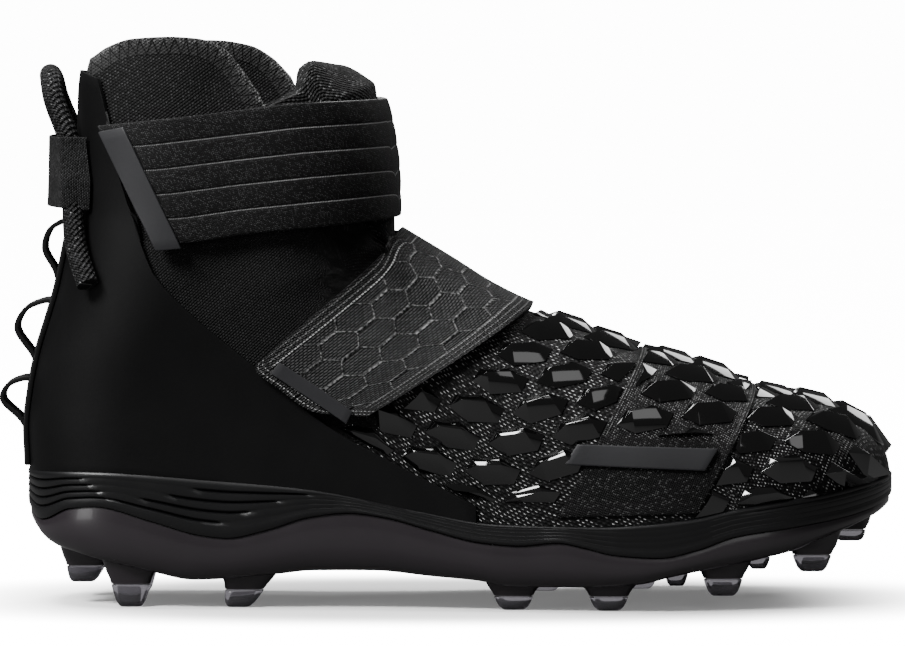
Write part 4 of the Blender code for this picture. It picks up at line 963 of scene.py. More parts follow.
def forefoot_weave():
    """Fine dotted weave between dotted bindings, and a darker knit below the grey tabs."""
    cloth = Cloth("forefoot_weave", 0.0015)
    across, over = axes(cloth.tree, cloth.place)
    end = FOREFOOT_LONG / 2 - abs(over - FOREFOOT_LONG / 2)
    high = (end - FOREFOOT_KNIT_END).limited(1.0)
    cloth.threads(0.24, (0.95, 0.85), turn=0.5, shown=0.7, size=(0.5, 0.5), only=high)
    cloth.threads(0.07, (0.8, 0.8), turn=0.35, shown=0.3, size=(0.8, 0.7), only=1.0 - high)
    rim = across.math("MINIMUM", FOREFOOT_WIDE - across)
    binding = (2.0 - rim).limited(4.0) * high
    cloth.tint(0.004, binding)
    dotted = {"turn": math.pi / 2, "shown": 0.85, "size": (0.55, 0.4)}
    cloth.threads(0.28, (0.8, 1.1), only=binding, **dotted)
    cloth.raise_by(1.0, binding)
    return cloth.done(bump=0.7)


def thread_layer(light, pitch, turn=0.0, shown=0.6, size=(0.6, 0.5), raised=1.0):
    """One layer of threads for woven()."""
    settings = {"light": light, "pitch": pitch, "turn": turn, "shown": shown}
    return settings | {"size": size, "raised": raised}


MESH = vamp_mesh()
COLLAR = collar_knit()
ELASTIC = ankle_elastic()
RIBBED = midfoot_weave()
FORE = forefoot_weave()
QUARTER_LAYER = thread_layer((0.022, 0.022, 0.023), (1.15, 0.85), 0.75, 0.55, (0.55, 0.45))
QUARTER = woven("quarter_mesh", 0.0012, QUARTER_LAYER, bump=0.8)
PILE_LAYER = thread_layer((0.085, 0.085, 0.086), (1.5, 1.05), 0.5, 0.5, (0.75, 0.6))
PILE = woven("tongue_pile", 0.0013, PILE_LAYER, bump=1.0, distance=0.7 * MM, sheen=0.02)
WEBBING_LAYER = thread_layer((0.035, 0.035, 0.036), (1.0, 0.8), math.pi / 2, 0.9, (0.8, 0.7))
WEBBING = woven("webbing", 0.003, WEBBING_LAYER, bump=0.9)
INNER = woven("lining", 0.003, thread_layer(0.02, (0.9, 0.8)), bump=0.6)
# strands both ways, with a few pale flecks in the second
STRANDS = thread_layer((0.018, 0.018, 0.019), (2.6, 1.5), 0.7, 0.9, (0.85, 0.8))
FLECKS = thread_layer(0.22, (1.7, 0.8), -0.7, 0.14, (0.5, 0.5), raised=0.5)
CORD = woven("braided_cord", 0.002, STRANDS, FLECKS, bump=1.0, distance=0.9 * MM, roughness=0.6)

SHELL = smooth_material(
    "smooth_shell", (0.0014, 0.0014, 0.0015), 0.55, 0.1, 1400.0, Specular_IOR_Level=0.12
)
TAB = smooth_material("grey_tab", (0.016, 0.016, 0.0175), 0.5, 0.15, Specular_IOR_Level=0.25)
FOAM = smooth_material(
    "midsole_rubber", (0.003, 0.003, 0.0033), 0.38, 0.1, Specular_IOR_Level=0.35
)
SMOKY = smooth_material(
    "smoky_plate", (0.015, 0.012, 0.0145), 0.30, Coat_Weight=0.2, Coat_Roughness=0.06
)
GLOSSY = {"Specular_IOR_Level": 0.7, "Coat_Weight": 0.4, "Coat_Roughness": 0.06}
GLOSS = smooth_material("glossy_scale", (0.0012, 0.0012, 0.0012), 0.07, **GLOSSY)
CLEAR = smooth_material("clear_tip", (0.26, 0.25, 0.275), 0.05, Transmission_Weight=0.85, IOR=1.45)


# ---- upper ----

UPPER_ROWS = 48
UPPER_COLUMNS = 48
CLOSED_ROWS = 28
# how near a place function's share comes to its end before the outline itself is taken
END = 1e-6
# the girth is measured from here to the toe, at so many stations, in so many steps down
GIRTH_START = along(0.36)
GIRTH_END = TOE_X - 0.5 * MM
GIRTH_STATIONS = 60
GIRTH_STEPS = 30
# materials of the upper in their order
UPPER_MESH, UPPER_INNER, UPPER_QUARTER, UPPER_COLLAR = range(4)


def toe_line():
    """Outline of the toe and vamp in side view, from the feather line back to the throat."""
    start = THROAT_EDGE[0][0]
    rows = [row for row in reversed(RIDGE) if row[0] >= start]
    line = [p for p in line_of(rows, INSTEP_HEIGHT) if p.y > sole_top(p.x)]
    line.append(Vector((along(start), ridge_height(along(start)))))
    line[0] = Vector((TOE_X, sole_top(TOE_X)))
    return line


def throat_line(edge):
    line = line_of(edge, SHAFT_HEIGHT)
    line[0] = TOE_LINE[-1].copy()
    return line


TOE_LINE = toe_line()


def row_ends(edge):
    """Front ends of the upper's rows on one side: up the toe's outline, then the throat's edge."""
    throat = throat_line(edge)
    ends = [at_share(TOE_LINE, k / CLOSED_ROWS) for k in range(CLOSED_ROWS + 1)]
    open_rows = UPPER_ROWS - CLOSED_ROWS
    return ends + [at_share(throat, (k + 1) / open_rows) for k in range(open_rows)]


# front ends, collar height and the collar's front corner, lateral then medial
UPPER_SIDES = {
    -1: (row_ends(THROAT_EDGE), collar_height, THROAT_EDGE[-1]),
    1: (row_ends(MEDIAL_THROAT_EDGE), medial_collar_height, MEDIAL_THROAT_EDGE[-1]),
}


def crease_lift(x, z):
    """Soft troughs and ridges of the ankle's bend and the collar, met as distances in side view."""
    found = 0.0
    for (x0, z0), (x1, z1), depth, wide in CREASES:
        start = Vector((along(x0), by_height(z0)))
        run = Vector((along(x1), by_height(z1))) - start
        share = min(max((Vector((x, z)) - start).dot(run) / run.length_squared, 0.0), 1.0)
        gap = (Vector((x, z)) - start - run * share).length
        found += depth * math.exp(-((gap / wide) ** 2))
    return found


def vamp_lift(x):
    """How far the vamp's knit stands off, so that the toe is as full as in side view."""
    vamp = smooth_step(x, along(0.46), along(0.56))
    return VAMP_FILL * vamp + TOE_FILL * smooth_step(x, along(0.84), along(0.96))


def upper_place(u, v):
    """The upper's outer face: u from the medial front round the heel to the lateral, v upward."""
    k = round(v * UPPER_ROWS)
    share = k / UPPER_ROWS
    reach = abs(2 * u - 1)
    side = 1 if u < 0.5 else -1
    ends, collar_at, corner = UPPER_SIDES[side]
    feather = sole_top(heel_x(SOLE_RISE))
    collar_back = collar_height(heel_x(SHAFT_HEIGHT))
    z_back = lerp(feather, collar_back, share)
    back = Vector((heel_x(z_back), z_back))
    front = ends[k]
    s = (1 - math.cos(math.pi * reach)) / 2
    if k > CLOSED_ROWS:
        s = lerp(s, math.sin(math.pi * reach / 2) ** 1.3, 0.35)
    x = lerp(back.x, front.x, s)
    z = lerp(back.y, front.y, s)
    x_low = lerp(heel_x(feather), TOE_X, s)
    z += (sole_top(x_low) - lerp(feather, sole_top(TOE_X), s)) * (1 - share) ** 2
    x_top = lerp(heel_x(collar_back), along(corner[0]), s)
    z += (collar_at(x_top) - lerp(collar_back, by_height(corner[1]), s)) * share**3
    if reach < END:
        point, normal = on_outline(heel_x(z), z)
    elif reach > 1 - END and k <= CLOSED_ROWS:
        point, normal = on_outline(x, z)
    else:
        point, normal = surface(max(x, heel_x(z)), z, side)
    return point, normal, vamp_lift(point.x) + crease_lift(point.x, point.z)


def girth_table(side):
    """Stations along the foot with heights down the side and the way travelled from the ridge."""
    table = []
    for i in range(GIRTH_STATIONS + 1):
        x = lerp(GIRTH_START, GIRTH_END, i / GIRTH_STATIONS)
        top = ridge_height(x)
        last = Vector((x, centre_line(x, top), top))
        heights = [top]
        ways = [0.0]
        for j in range(1, GIRTH_STEPS + 1):
            z = top - (top - sole_top(x)) * (j / GIRTH_STEPS) ** 2
            here = surface_point(x, z, side)
            heights.append(z)
            ways.append(ways[-1] + (here - last).length)
            last = here
        table.append((heights[::-1], ways[::-1]))
    return table


GIRTHS = {side: girth_table(side) for side in (-1, 1)}


def cloth_place(x, z, side):
    """Flat place in mm of a point of the upper: along the foot, and down from the ridge."""
    if x < GIRTH_START:
        return x / MM, (ridge_height(GIRTH_START) - z) / MM
    at = (x - GIRTH_START) / (GIRTH_END - GIRTH_START) * GIRTH_STATIONS
    at = min(at, GIRTH_STATIONS - 0.001)
    i = int(at)
    near, far = (float(np.interp(z, *GIRTHS[side][k])) for k in (i, i + 1))
    return x / MM, lerp(near, far, at - i) / MM * (1 if side < 0 else -1)


def rim_places(points, side):
    """For side view points: the way along the collar's rim and the distance from it, in mm."""
    collar, edge = COLLAR_LINE, THROAT_EDGE
    if side > 0:
        collar, edge = MEDIAL_COLLAR_LINE, MEDIAL_THROAT_EDGE
    front = line_of(tuple(reversed(edge)), SHAFT_HEIGHT, 8)
    line = np.array(line_of(collar, SHAFT_HEIGHT, 8) + front[1:])
    ways = np.concatenate([[0], np.cumsum(np.hypot(*np.diff(line, axis=0).T))])
    gaps = np.hypot(points[:, None, 0] - line[None, :, 0], points[:, None, 1] - line[None, :, 1])
    nearest = gaps.argmin(axis=1)
    return np.stack([ways[nearest], gaps.min(axis=1)], axis=1) / MM


def lay_cloth(piece):
    """Gives the upper its flat cloth map and its map along the collar's rim."""
    mesh = piece.data
    count = len(mesh.vertices)
    columns = 2 * UPPER_COLUMNS + 1
    spots = np.array([tuple(v.co - SHIFT) for v in mesh.vertices])
    sides = np.array([1 if (i % columns) < UPPER_COLUMNS else -1 for i in range(count)])
    flat = np.array([cloth_place(x, z, side) for (x, y, z), side in zip(spots, sides)])
    rims = np.zeros((count, 2))
    for side in (-1, 1):
        rims[sides == side] = rim_places(spots[sides == side][:, (0, 2)], side)
    rim_layer = mesh.uv_layers.new(name="rim")
    for values, layer in ((flat, mesh.uv_layers["cloth"]), (rims, rim_layer)):
        for loop, spot in zip(mesh.loops, layer.data):
            spot.uv = values[loop.vertex_index]
    mesh.uv_layers.active = mesh.uv_layers["cloth"]


def build_upper():
    """Knit upper, thicker round the collar, with its own material on each part."""
    piece = laid_grid("upper_looks", 2 * UPPER_COLUMNS, UPPER_ROWS, upper_place, (560.0, 150.0))
    lay_cloth(piece)
    edit(piece, weld(0.05 * MM))
    face_away(piece)
    full = UPPER_WALL + COLLAR_PAD
    walls = piece.vertex_groups.new(name="wall")
    for vert in piece.data.vertices:
        x, y, z = vert.co - SHIFT
        rim = collar_height(x) if y < 0 else medial_collar_height(x)
        up = smooth_step(z, 0.80 * SHAFT_HEIGHT, 0.91 * SHAFT_HEIGHT)
        top = 1 - 0.75 * smooth_step(z, rim - 5 * MM, rim)
        behind = 1 - smooth_step(x, along(0.18), along(0.24))
        walls.add([vert.index], (UPPER_WALL + COLLAR_PAD * up * behind * top) / full, "REPLACE")
    inward = {"offset": -1, "use_rim": True, "material_offset": UPPER_INNER}
    modify(piece, "SOLIDIFY", thickness=full, vertex_group="wall", **inward)
    bevel(piece, 0.9 * MM, segments=3)
    modify(piece, "SUBSURF", levels=1, render_levels=1)
    finish(piece, "black_woven", [MESH, INNER, QUARTER, COLLAR], "upper", angle=60)
    for face in piece.data.polygons:
        if face.material_index == UPPER_INNER:
            continue
        x, y, z = face.center - SHIFT
        if z > by_height(0.80) and x < along(0.36):
            face.material_index = UPPER_COLLAR
        elif x < along(0.43) + (z - by_height(0.40)) * 0.6:
            face.material_index = UPPER_QUARTER
        else:
            face.material_index = UPPER_MESH


# ---- shell, straps and tabs ----

SHELL_LINE = line_of(SHELL_EDGE, SHAFT_HEIGHT)
# share of the way round that the shell's slanted front edge takes; the top edge takes the rest
SHELL_FRONT = 9 / 14


def shell_place(u, v):
    """Shell round the heel: u from the lateral front round to the medial, v upward."""
    reach = 1 - abs(2 * u - 1)
    side = -1 if u < 0.5 else 1
    heel_foot = heel_x(SOLE_RISE)
    corner_foot = heel_foot + HEEL_ROUND
    corner_top = SHELL_LINE[-1]
    if reach <= SHELL_FRONT:
        share = reach / SHELL_FRONT
        x_edge, z_edge = at_share(SHELL_LINE, share)
        x_foot = lerp(along(SHELL_EDGE[0][0]), corner_foot, share)
    else:
        left = 1 - math.sin(math.pi / 2 * (reach - SHELL_FRONT) / (1 - SHELL_FRONT))
        z_edge = lerp(by_height(SHELL_TOP), corner_top.y, left)
        x_edge = heel_x(z_edge) + (corner_top.x - heel_x(corner_top.y)) * left
        x_foot = lerp(heel_foot, corner_foot, left)
    z_foot = sole_top(x_foot) - 1.5 * MM
    z_edge = max(z_edge, z_foot + 2 * MM)
    z = lerp(z_foot, z_edge, v)
    set_in = lerp(x_foot - heel_x(z_foot), x_edge - heel_x(z_edge), v)
    x = heel_x(z)
    if reach > 1 - END:
        return *on_outline(x, z), SHELL_LIFT
    return *surface(x + set_in, z, side), SHELL_LIFT


def build_shell():
    piece = laid_grid("shell_looks", 112, 36, shell_place, (520.0, 130.0))
    thicken(piece, SHELL_THICK, 0.5 * MM)
    finish(piece, "black_smooth_shell", [SHELL], "quarter_shell")


ANKLE_TOP_LINE = line_of(ANKLE_STRAP_TOP, SHAFT_HEIGHT)
ANKLE_BOTTOM_LINE = line_of(ANKLE_STRAP_BOTTOM, SHAFT_HEIGHT)


def ankle_place(u, v):
    """Wide elastic: u round the front from lateral to medial, v from the bottom edge to the top."""
    reach = 1 - abs(2 * u - 1)
    side = -1 if u < 0.5 else 1
    t = 1 - (1 - reach) ** 2
    a = at_share(ANKLE_TOP_LINE, t)
    b = at_share(ANKLE_BOTTOM_LINE, t)
    x, z = b.lerp(a, v)
    rib = (v * ANKLE_RIBS) % 1.0
    lift = STRAP_LIFT - 0.2 * MM + 0.3 * MM * math.sin(math.pi * rib) ** 0.5
    lift -= 0.8 * MM * smooth_step(reach, 0.75, 1.0)
    if reach > 1 - END:
        return *on_outline(shaft_x(z), z), lift
    return *surface(min(x, shaft_x(z) - 0.02 * MM), z, side), lift


def vamp_place(low, ridge, lift, end=STRAIGHT_END):
    """A place function for a strap over the ridge: u from rear to front edge, v over the foot."""
    past_end = curve_of(end, float, 1.0)
    rear = Vector((along(low[0][0]), INSTEP_HEIGHT * low[0][1]))
    front = Vector((along(low[1][0]), INSTEP_HEIGHT * low[1][1]))

    def place(u, v):
        reach = 1 - abs(2 * v - 1)
        side = -1 if v < 0.5 else 1
        foot = rear.lerp(front, u)
        ridge_x = lerp(along(ridge[0]), along(ridge[1]), u)
        high = Vector((ridge_x, ridge_height(ridge_x)))
        foot += (foot - high).normalized() * past_end(u)
        t = 1 - (1 - reach) ** 2
        if t > 1 - 1e-9:
            return *on_outline(high.x, high.y), lift
        x, z = foot.lerp(high, t)
        return *surface(x, min(z, ridge_height(x) - 0.005 * MM), side), lift

    return place


def tab_place(corners, height, lift, side):
    """A place function for a tab between its four corners: u to the front, v upward."""
    spots = [Vector((along(a), height * b)) for a, b in corners]
    low_rear, low_front, high_rear, high_front = spots

    def place(u, v):
        x, z = low_rear.lerp(low_front, u).lerp(high_rear.lerp(high_front, u), v)
        return *surface(x, z, side), lift

    return place


def build_straps():
    midfoot = vamp_place(MIDFOOT_STRAP_LOW, MIDFOOT_STRAP_RIDGE, STRAP_LIFT, MIDFOOT_STRAP_END)
    forefoot = vamp_place(FOREFOOT_STRAP_LOW, FOREFOOT_STRAP_RIDGE, FOREFOOT_LIFT)
    ankle_flat = (ANKLE_LONG, ANKLE_HIGH)
    midfoot_flat = (MIDFOOT_WIDE, MIDFOOT_LONG)
    forefoot_flat = (FOREFOOT_WIDE, FOREFOOT_LONG)
    for name, columns, rows, place, flat, thick, rounding, material, angle in (
        ("ankle", 120, 50, ankle_place, ankle_flat, STRAP_THICK, 0.5 * MM, ELASTIC, 60),
        ("midfoot", 60, 120, midfoot, midfoot_flat, STRAP_THICK, 0.5 * MM, RIBBED, 40),
        ("forefoot", 50, 120, forefoot, forefoot_flat, FOREFOOT_THICK, 0.4 * MM, FORE, 40),
    ):
        strap = laid_grid(name + "_strap_looks", columns, rows, place, flat)
        thicken(strap, thick, rounding)
        finish(strap, "black_strap", [material], name + "_strap", angle=angle)
    for name, corners, height, lift in (
        ("ankle", ANKLE_TAB, SHAFT_HEIGHT, TAB_LIFT),
        ("midfoot", MIDFOOT_TAB, INSTEP_HEIGHT, TAB_LIFT),
        ("forefoot", FOREFOOT_TAB, INSTEP_HEIGHT, FOREFOOT_TAB_LIFT),
    ):
        for side, word in ((-1, "lateral"), (1, "medial")):
            place = tab_place(corners, height, lift, side)
            tab = laid_grid(name + "_tab_looks_" + word, 20, 12, place, (20.0, 40.0))
            thicken(tab, TAB_THICK, 0.4 * MM)
            finish(tab, "dark_grey_tab", [TAB], name + "_tab_" + word)


# ---- scales ----


def girth_height(x, run):
    """Height of the point a girth down from the ridge at x, and the girth past the feather line."""
    side = -1 if run < 0 else 1
    top = ridge_height(x)
    reach = top - sole_top(x)
    steps = 40
    last = Vector((x, centre_line(x, top), top))
    travelled = 0.0
    for i in range(1, steps + 1):
        z = top - reach * (i / steps) ** 2
        here = surface_point(x, z, side)
        step = (here - last).length
        if travelled + step >= abs(run):
            z_before = top - reach * ((i - 1) / steps) ** 2
            return lerp(z_before, z, (abs(run) - travelled) / step), 0.0
        travelled += step
        last = here
    return top - reach, abs(run) - travelled


def strap_edge(low, ridge_share, z):
    """Place along the foot of a strap's edge at a height."""
    low_z = INSTEP_HEIGHT * low[1]
    ridge_x = along(ridge_share)
    share = (z - low_z) / (ridge_height(ridge_x) - low_z)
    return lerp(along(low[0]), ridge_x, share)


SHELL_FORWARD = [row for row in reversed(SHELL_EDGE) if row[0] > 0.2]
shell_edge_height = curve_of(SHELL_FORWARD, along, SHAFT_HEIGHT)


def zone_point(flat, zone):
    """A flat lattice place drawn in to the zone's edges, on the shoe, and how far it was drawn."""
    rear_edge, front_edge, low_line = zone
    x = min(max(flat.x, along(0.25)), TOE_X - MM)
    z, past = girth_height(x, -flat.y)
    depth = ridge_height(x) - z
    x_in = min(max(x, rear_edge(z)), front_edge(z))
    z_in = max(ridge_height(x_in) - depth, low_line(x_in))
    drawn = math.hypot(x_in - flat.x, max(z_in - z, 0.0) + past)
    side = -1 if flat.y > 0 else 1
    if depth < 1e-6:
        return on_outline(x_in, ridge_height(x_in)), drawn
    return surface(x_in, z_in, side), drawn


def turned(dx, dy, side):
    """An offset in a scale's own axes, in millimetres, as an offset on the flat lattice."""
    c, s = math.cos(SCALE_TURN), math.sin(SCALE_TURN)
    return Vector((dx * c + dy * s, (dy * c - dx * s) * side)) * MM


def add_scale(points, faces, centre, side, zone, low):
    """Adds one roofed scale, unless the zone's edge or the toe's curve would crush it."""
    base, roof = (
        [zone_point(centre + turned(dx, dy, side), zone)[0] for dx, dy in corners]
        for corners in (SCALE_OUTLINE, SCALE_ROOF)
    )
    long_way = (base[0][0] - base[3][0]).length / SCALE_LONG
    short_way = (base[1][0] - base[5][0]).length / SCALE_SHORT
    facing = sum((n for p, n in base), Vector((0.0, 0.0, 0.0))).normalized()
    if long_way < LEAST_LONG or short_way < LEAST_SHORT:
        return
    if min(n.dot(facing) for p, n in base) < LEAST_FACING:
        return
    rise = SCALE_RISE * min(long_way, short_way, 1.0)
    lift = low + vamp_lift(centre.x) if low < FOREFOOT_LIFT else low
    start = len(points)
    points += [p + n * (lift - SCALE_ROOT) + SHIFT for p, n in base]
    points += [p + n * (lift + SCALE_STEP) + SHIFT for p, n in base]
    points += [p + facing * (lift + rise) + SHIFT for p, n in roof]
    for m in range(6):
        q = (m + 1) % 6
        faces.append((start + m, start + q, start + 6 + q, start + 6 + m))
    b = [start + 6 + m for m in range(6)]
    r0, r1 = start + 12, start + 13
    faces += [(b[0], b[1], r0), (b[1], b[2], r1, r0), (b[2], b[3], r1)]
    faces += [(b[3], b[4], r1), (b[4], b[5], r0, r1), (b[5], b[0], r0)]
    faces.append(tuple(start + m for m in reversed(range(6))))


def scale_mesh(zone, low):
    """Points and faces of all scales in a zone."""
    points = []
    faces = []
    for j in LATTICE_ROWS:
        for i in LATTICE_COLUMNS:
            centre = LATTICE_ALONG * (i + 0.5) + LATTICE_DOWN * (j + 0.5)
            if not along(0.3) < centre.x < along(1.1) or centre.y < RIDGE_BEHIND:
                continue
            if zone_point(centre, zone)[1] > MOST_DRAWN:
                continue
            for side in (1,) if centre.y < RIDGE_NEAR else (1, -1):
                add_scale(points, faces, Vector((centre.x, centre.y * side)), side, zone, low)
    return points, faces


def build_scales(name, zone, low, node):
    piece = piece_of(name, *scale_mesh(zone, low))
    edit(piece, face_out)
    bevel(piece, 0.22 * MM, angle=12)
    finish(piece, "gloss_black_scale", [GLOSS], node, angle=25)


def build_all_scales():
    mid_front = (MIDFOOT_STRAP_LOW[1], MIDFOOT_STRAP_RIDGE[1])
    fore_rear = (FOREFOOT_STRAP_LOW[0], FOREFOOT_STRAP_RIDGE[0])
    fore_front = (FOREFOOT_STRAP_LOW[1], FOREFOOT_STRAP_RIDGE[1])
    behind = (
        lambda z: strap_edge(*mid_front, z),
        lambda z: strap_edge(*fore_rear, z),
        lambda x: max(shell_edge_height(x) + 1.5 * MM, sole_top(x)),
    )
    toe = (lambda z: strap_edge(*fore_front, z), lambda z: TOE_X, sole_top)
    strap = (
        lambda z: strap_edge(*fore_rear, z) + 2 * MM,
        lambda z: strap_edge(*fore_front, z) - 2 * MM,
        lambda x: FOREFOOT_TAB_TOP * INSTEP_HEIGHT,
    )
    build_scales("vamp_scales_looks", behind, 0.1 * MM, "vamp_scales")
    build_scales("toe_scales_looks", toe, 0.1 * MM, "toe_scales")
    build_scales("strap_scales_looks", strap, FOREFOOT_LIFT + 0.2 * MM, "forefoot_strap_scales")


# ---- tongue ----


def build_tongue():
    """Padded tongue: a sheet that runs up the outer face, over the roll and down the inner one."""
    wing = line_of(TONGUE_WING, SHAFT_HEIGHT)
    stations = [along(share) for share in (0.530, 0.510, 0.490, 0.470, 0.450, 0.430)]
    front = [Vector((x, ridge_height(x))) for x in stations]
    crease = ridge_height(along(RIDGE[0][0]))
    heights = [lerp(crease, by_height(TONGUE_TOP), i / 8) for i in range(9)]
    front += [Vector((shaft_x(z), z)) for z in heights]
    rows = [(i / (len(TONGUE) - 1), *row) for i, row in enumerate(TONGUE)]
    columns = [curve_of(rows, float, 1.0, column) for column in (1, 2, 3, 4)]

    def place(u, v):
        reach = 1 - abs(2 * u - 1)
        side = -1 if u < 0.5 else 1
        turn = min(v * 2, 2 - v * 2)
        share_wing, share_front, outer, inner = (column(turn) for column in columns)
        a = at_share(wing, share_wing)
        b = at_share(front, share_front)
        s = 1 - (1 - reach) ** 2
        x, z = a.lerp(b, s)
        pad = 0.32 * smooth_step(s, 0.15, 0.55) + 0.64 * smooth_step(s, 0.52, 0.68) + 0.04 * s
        z = lerp(z, lerp(a.y, b.y, pad), smooth_step(turn, 0.72, 0.97))
        out = lerp(-3.8 * MM, outer, smooth_step(s, 0.45, 1.0))
        deep = lerp(-6.8 * MM, inner, smooth_step(s, 0.25, 0.80))
        rolled = smooth_step(turn, 0.93, 1.0)
        middle = (out + deep) / 2
        lift = lerp(out if v < 0.5 else deep, middle, rolled**2)
        if reach > 1 - END:
            return *on_outline(b.x, b.y), lift
        return *surface(x, z, side), lift

    piece = laid_grid("tongue_looks", 60, 120, place, (130.0, 180.0))
    edit(piece, close_rims(bpy.ops.mesh.bridge_edge_loops), face_out)
    finish(piece, "black_knit", [PILE], "tongue", angle=60)


# ---- cord, sleeve and tape ----


def cord_route():
    """The cord's centre line: up one leg, over the arch behind the heel, and down the other."""
    off = SHELL_LIFT + 0.6 * MM + CORD_DIAMETER / 2
    leg = []
    for height, y in CORD_LEG:
        point, normal = heel_point(y, by_height(height))
        leg.append(point + normal * off)
    for height, y, behind in CORD_ARCH:
        z = by_height(height)
        leg.append(Vector((heel_x(z) - behind, y, z)))
    return [*leg, *[Vector((p.x, -p.y, p.z)) for p in reversed(leg[:-1])]]


def at_step(route, share):
    """A point of a route by the share of its steps, and the number of the step."""
    at = share * (len(route) - 1)
    i = min(int(at), len(route) - 2)
    return route[i].lerp(route[i + 1], at - i), i


def build_cord():
    route = smooth_route(cord_route(), 10)
    length = sum((b - a).length for a, b in zip(route, route[1:])) / MM

    def place(u, v):
        centre, i = at_step(route, v)
        way = (route[min(i + 2, len(route) - 1)] - route[max(i - 1, 0)]).normalized()
        aside = way.cross(Vector((1, 0, 0))).normalized()
        up = aside.cross(way)
        angle = 2 * math.pi * u
        normal = aside * math.cos(angle) + up * math.sin(angle)
        return centre, normal, CORD_DIAMETER / 2

    flat = (CORD_DIAMETER / MM * math.pi, length)
    piece = laid_grid("pull_cord_looks", 24, 160, place, flat)
    edit(piece, weld(0.02 * MM), close_rims(bpy.ops.mesh.edge_face_add), face_out)
    finish(piece, "black_cord", [CORD], "pull_cord")


def cord_y_at(z):
    rows = [(by_height(h), y) for h, y in CORD_LEG]
    return float(np.interp(z, [r[0] for r in rows], [r[1] for r in rows]))


def build_sleeve():
    """Webbing band over the heel that holds the cord's legs down."""

    def place(u, v):
        z = lerp(by_height(SLEEVE_HEIGHTS[0]), by_height(SLEEVE_HEIGHTS[1]), v)
        reach = min(abs(cord_y_at(z)) + SLEEVE_PAST, SLEEVE_REACH)
        span = 2 * u - 1
        low = SHELL_LIFT + 0.3 * MM
        over = low + CORD_DIAMETER + 0.9 * MM
        lift = lerp(over, low, smooth_step(abs(span), 0.84, 1.0)) + SLEEVE_THICK
        return *heel_point(reach * span, z), lift

    piece = laid_grid("cord_sleeve_looks", 60, 24, place, (100.0, 26.0))
    thicken(piece, SLEEVE_THICK, 0.3 * MM)
    finish(piece, "black_strap", [WEBBING], "cord_sleeve", angle=60)


def build_tape():
    """Webbing tape up the heel, with loops that stand off it."""
    low = SHELL_LIFT + 0.2 * MM
    bottom = sole_top(heel_x(SOLE_RISE)) + 1.0 * MM
    top = by_height(TAPE_TOP)

    def place(u, v):
        spot = heel_point(TAPE_WIDTH / 2 * (2 * u - 1), lerp(bottom, top, v))
        return *spot, low + TAPE_THICK

    piece = laid_grid("heel_tape_looks", 16, 60, place, (18.0, 90.0))
    thicken(piece, TAPE_THICK, 0.3 * MM)
    loops = []
    for number, loop in enumerate(TAPE_LOOPS):
        points = []
        for height, out in loop:
            z = by_height(height)
            points.append(Vector((heel_x(z) - low - TAPE_THICK / 2 - out * MM, z)))
        route = smooth_route(points, 8)

        def loop_place(u, v):
            x, z = at_step(route, v)[0]
            y = (TAPE_WIDTH / 2 - MM) * (2 * u - 1)
            return Vector((x, y, z)), Vector((1, 0, 0)), 0.0

        band = laid_grid("tape_loop_" + str(number), 12, 60, loop_place, (16.0, 34.0))
        modify(band, "SOLIDIFY", thickness=TAPE_THICK, offset=0, use_rim=True)
        bevel(band, 0.3 * MM)
        loops.append(band)
    join(piece, loops)
    finish(piece, "black_strap", [WEBBING], "heel_tape", angle=60)


# ---- sole ----

RING_STEPS = 168


def plan_width(x):
    """Half width of the sole's plan."""
    wide = (medial_width(x) + lateral_width(x)) / 2
    return wide * rounded((x - heel_x(SOLE_RISE)) / HEEL_ROUND) * rounded((TOE_X - x) / TOE_ROUND)


def plan_ring():
    """Points round the feather line in plan, each with its outward way and its station."""
    heel = heel_x(SOLE_RISE)
    lateral = []
    medial = []
    for i in range(RING_STEPS + 1):
        station = lerp(heel, TOE_X, (1 - math.cos(math.pi * i / RING_STEPS)) / 2)
        mid = (medial_width(station) - lateral_width(station)) / 2
        wide = plan_width(station)
        lateral.append((Vector((station, mid - wide)), station))
        medial.append((Vector((station, mid + wide)), station))
    ring = [*lateral, *reversed(medial[1:-1])]
    found = []
    for i, (point, station) in enumerate(ring):
        way = ring[(i + 1) % len(ring)][0] - ring[i - 1][0]
        found.append((point, Vector((way.y, -way.x)).normalized(), station))
    return found


PLAN_RING = plan_ring()


def ringed(name, levels):
    """A closed solid from rings of (offset, height) round the plan, closed across at both ends."""
    points = []
    faces = []
    count = len(PLAN_RING)
    for offset, height in levels:
        for point, outward, station in PLAN_RING:
            out = offset(station) if callable(offset) else offset
            x, y = point + outward * out
            points.append(Vector((x, y, height(station))) + SHIFT)
    for level in range(len(levels) - 1):
        for i in range(count):
            j = (i + 1) % count
            a, b = level * count, (level + 1) * count
            faces.append((a + i, a + j, b + j, b + i))
    for a in (0, (len(levels) - 1) * count):
        for i in range(RING_STEPS):
            corners = []
            for k in (i, i + 1, (count - i - 1) % count, (count - i) % count):
                if a + k not in corners:
                    corners.append(a + k)
            faces.append(tuple(corners))
    piece = piece_of(name, points, faces)
    edit(piece, face_out)
    return piece


def plate_floor(x):
    """Height of the plate's inner face."""
    return plate_bottom(x) + min(3.0 * MM, 0.6 * (sole_joint(x) - plate_bottom(x)))


def side_height(share):
    """Height on the midsole's side by its share from the parting line to the feather line."""
    return lambda x: lerp(sole_joint(x) + 0.3 * MM, sole_top(x), share)


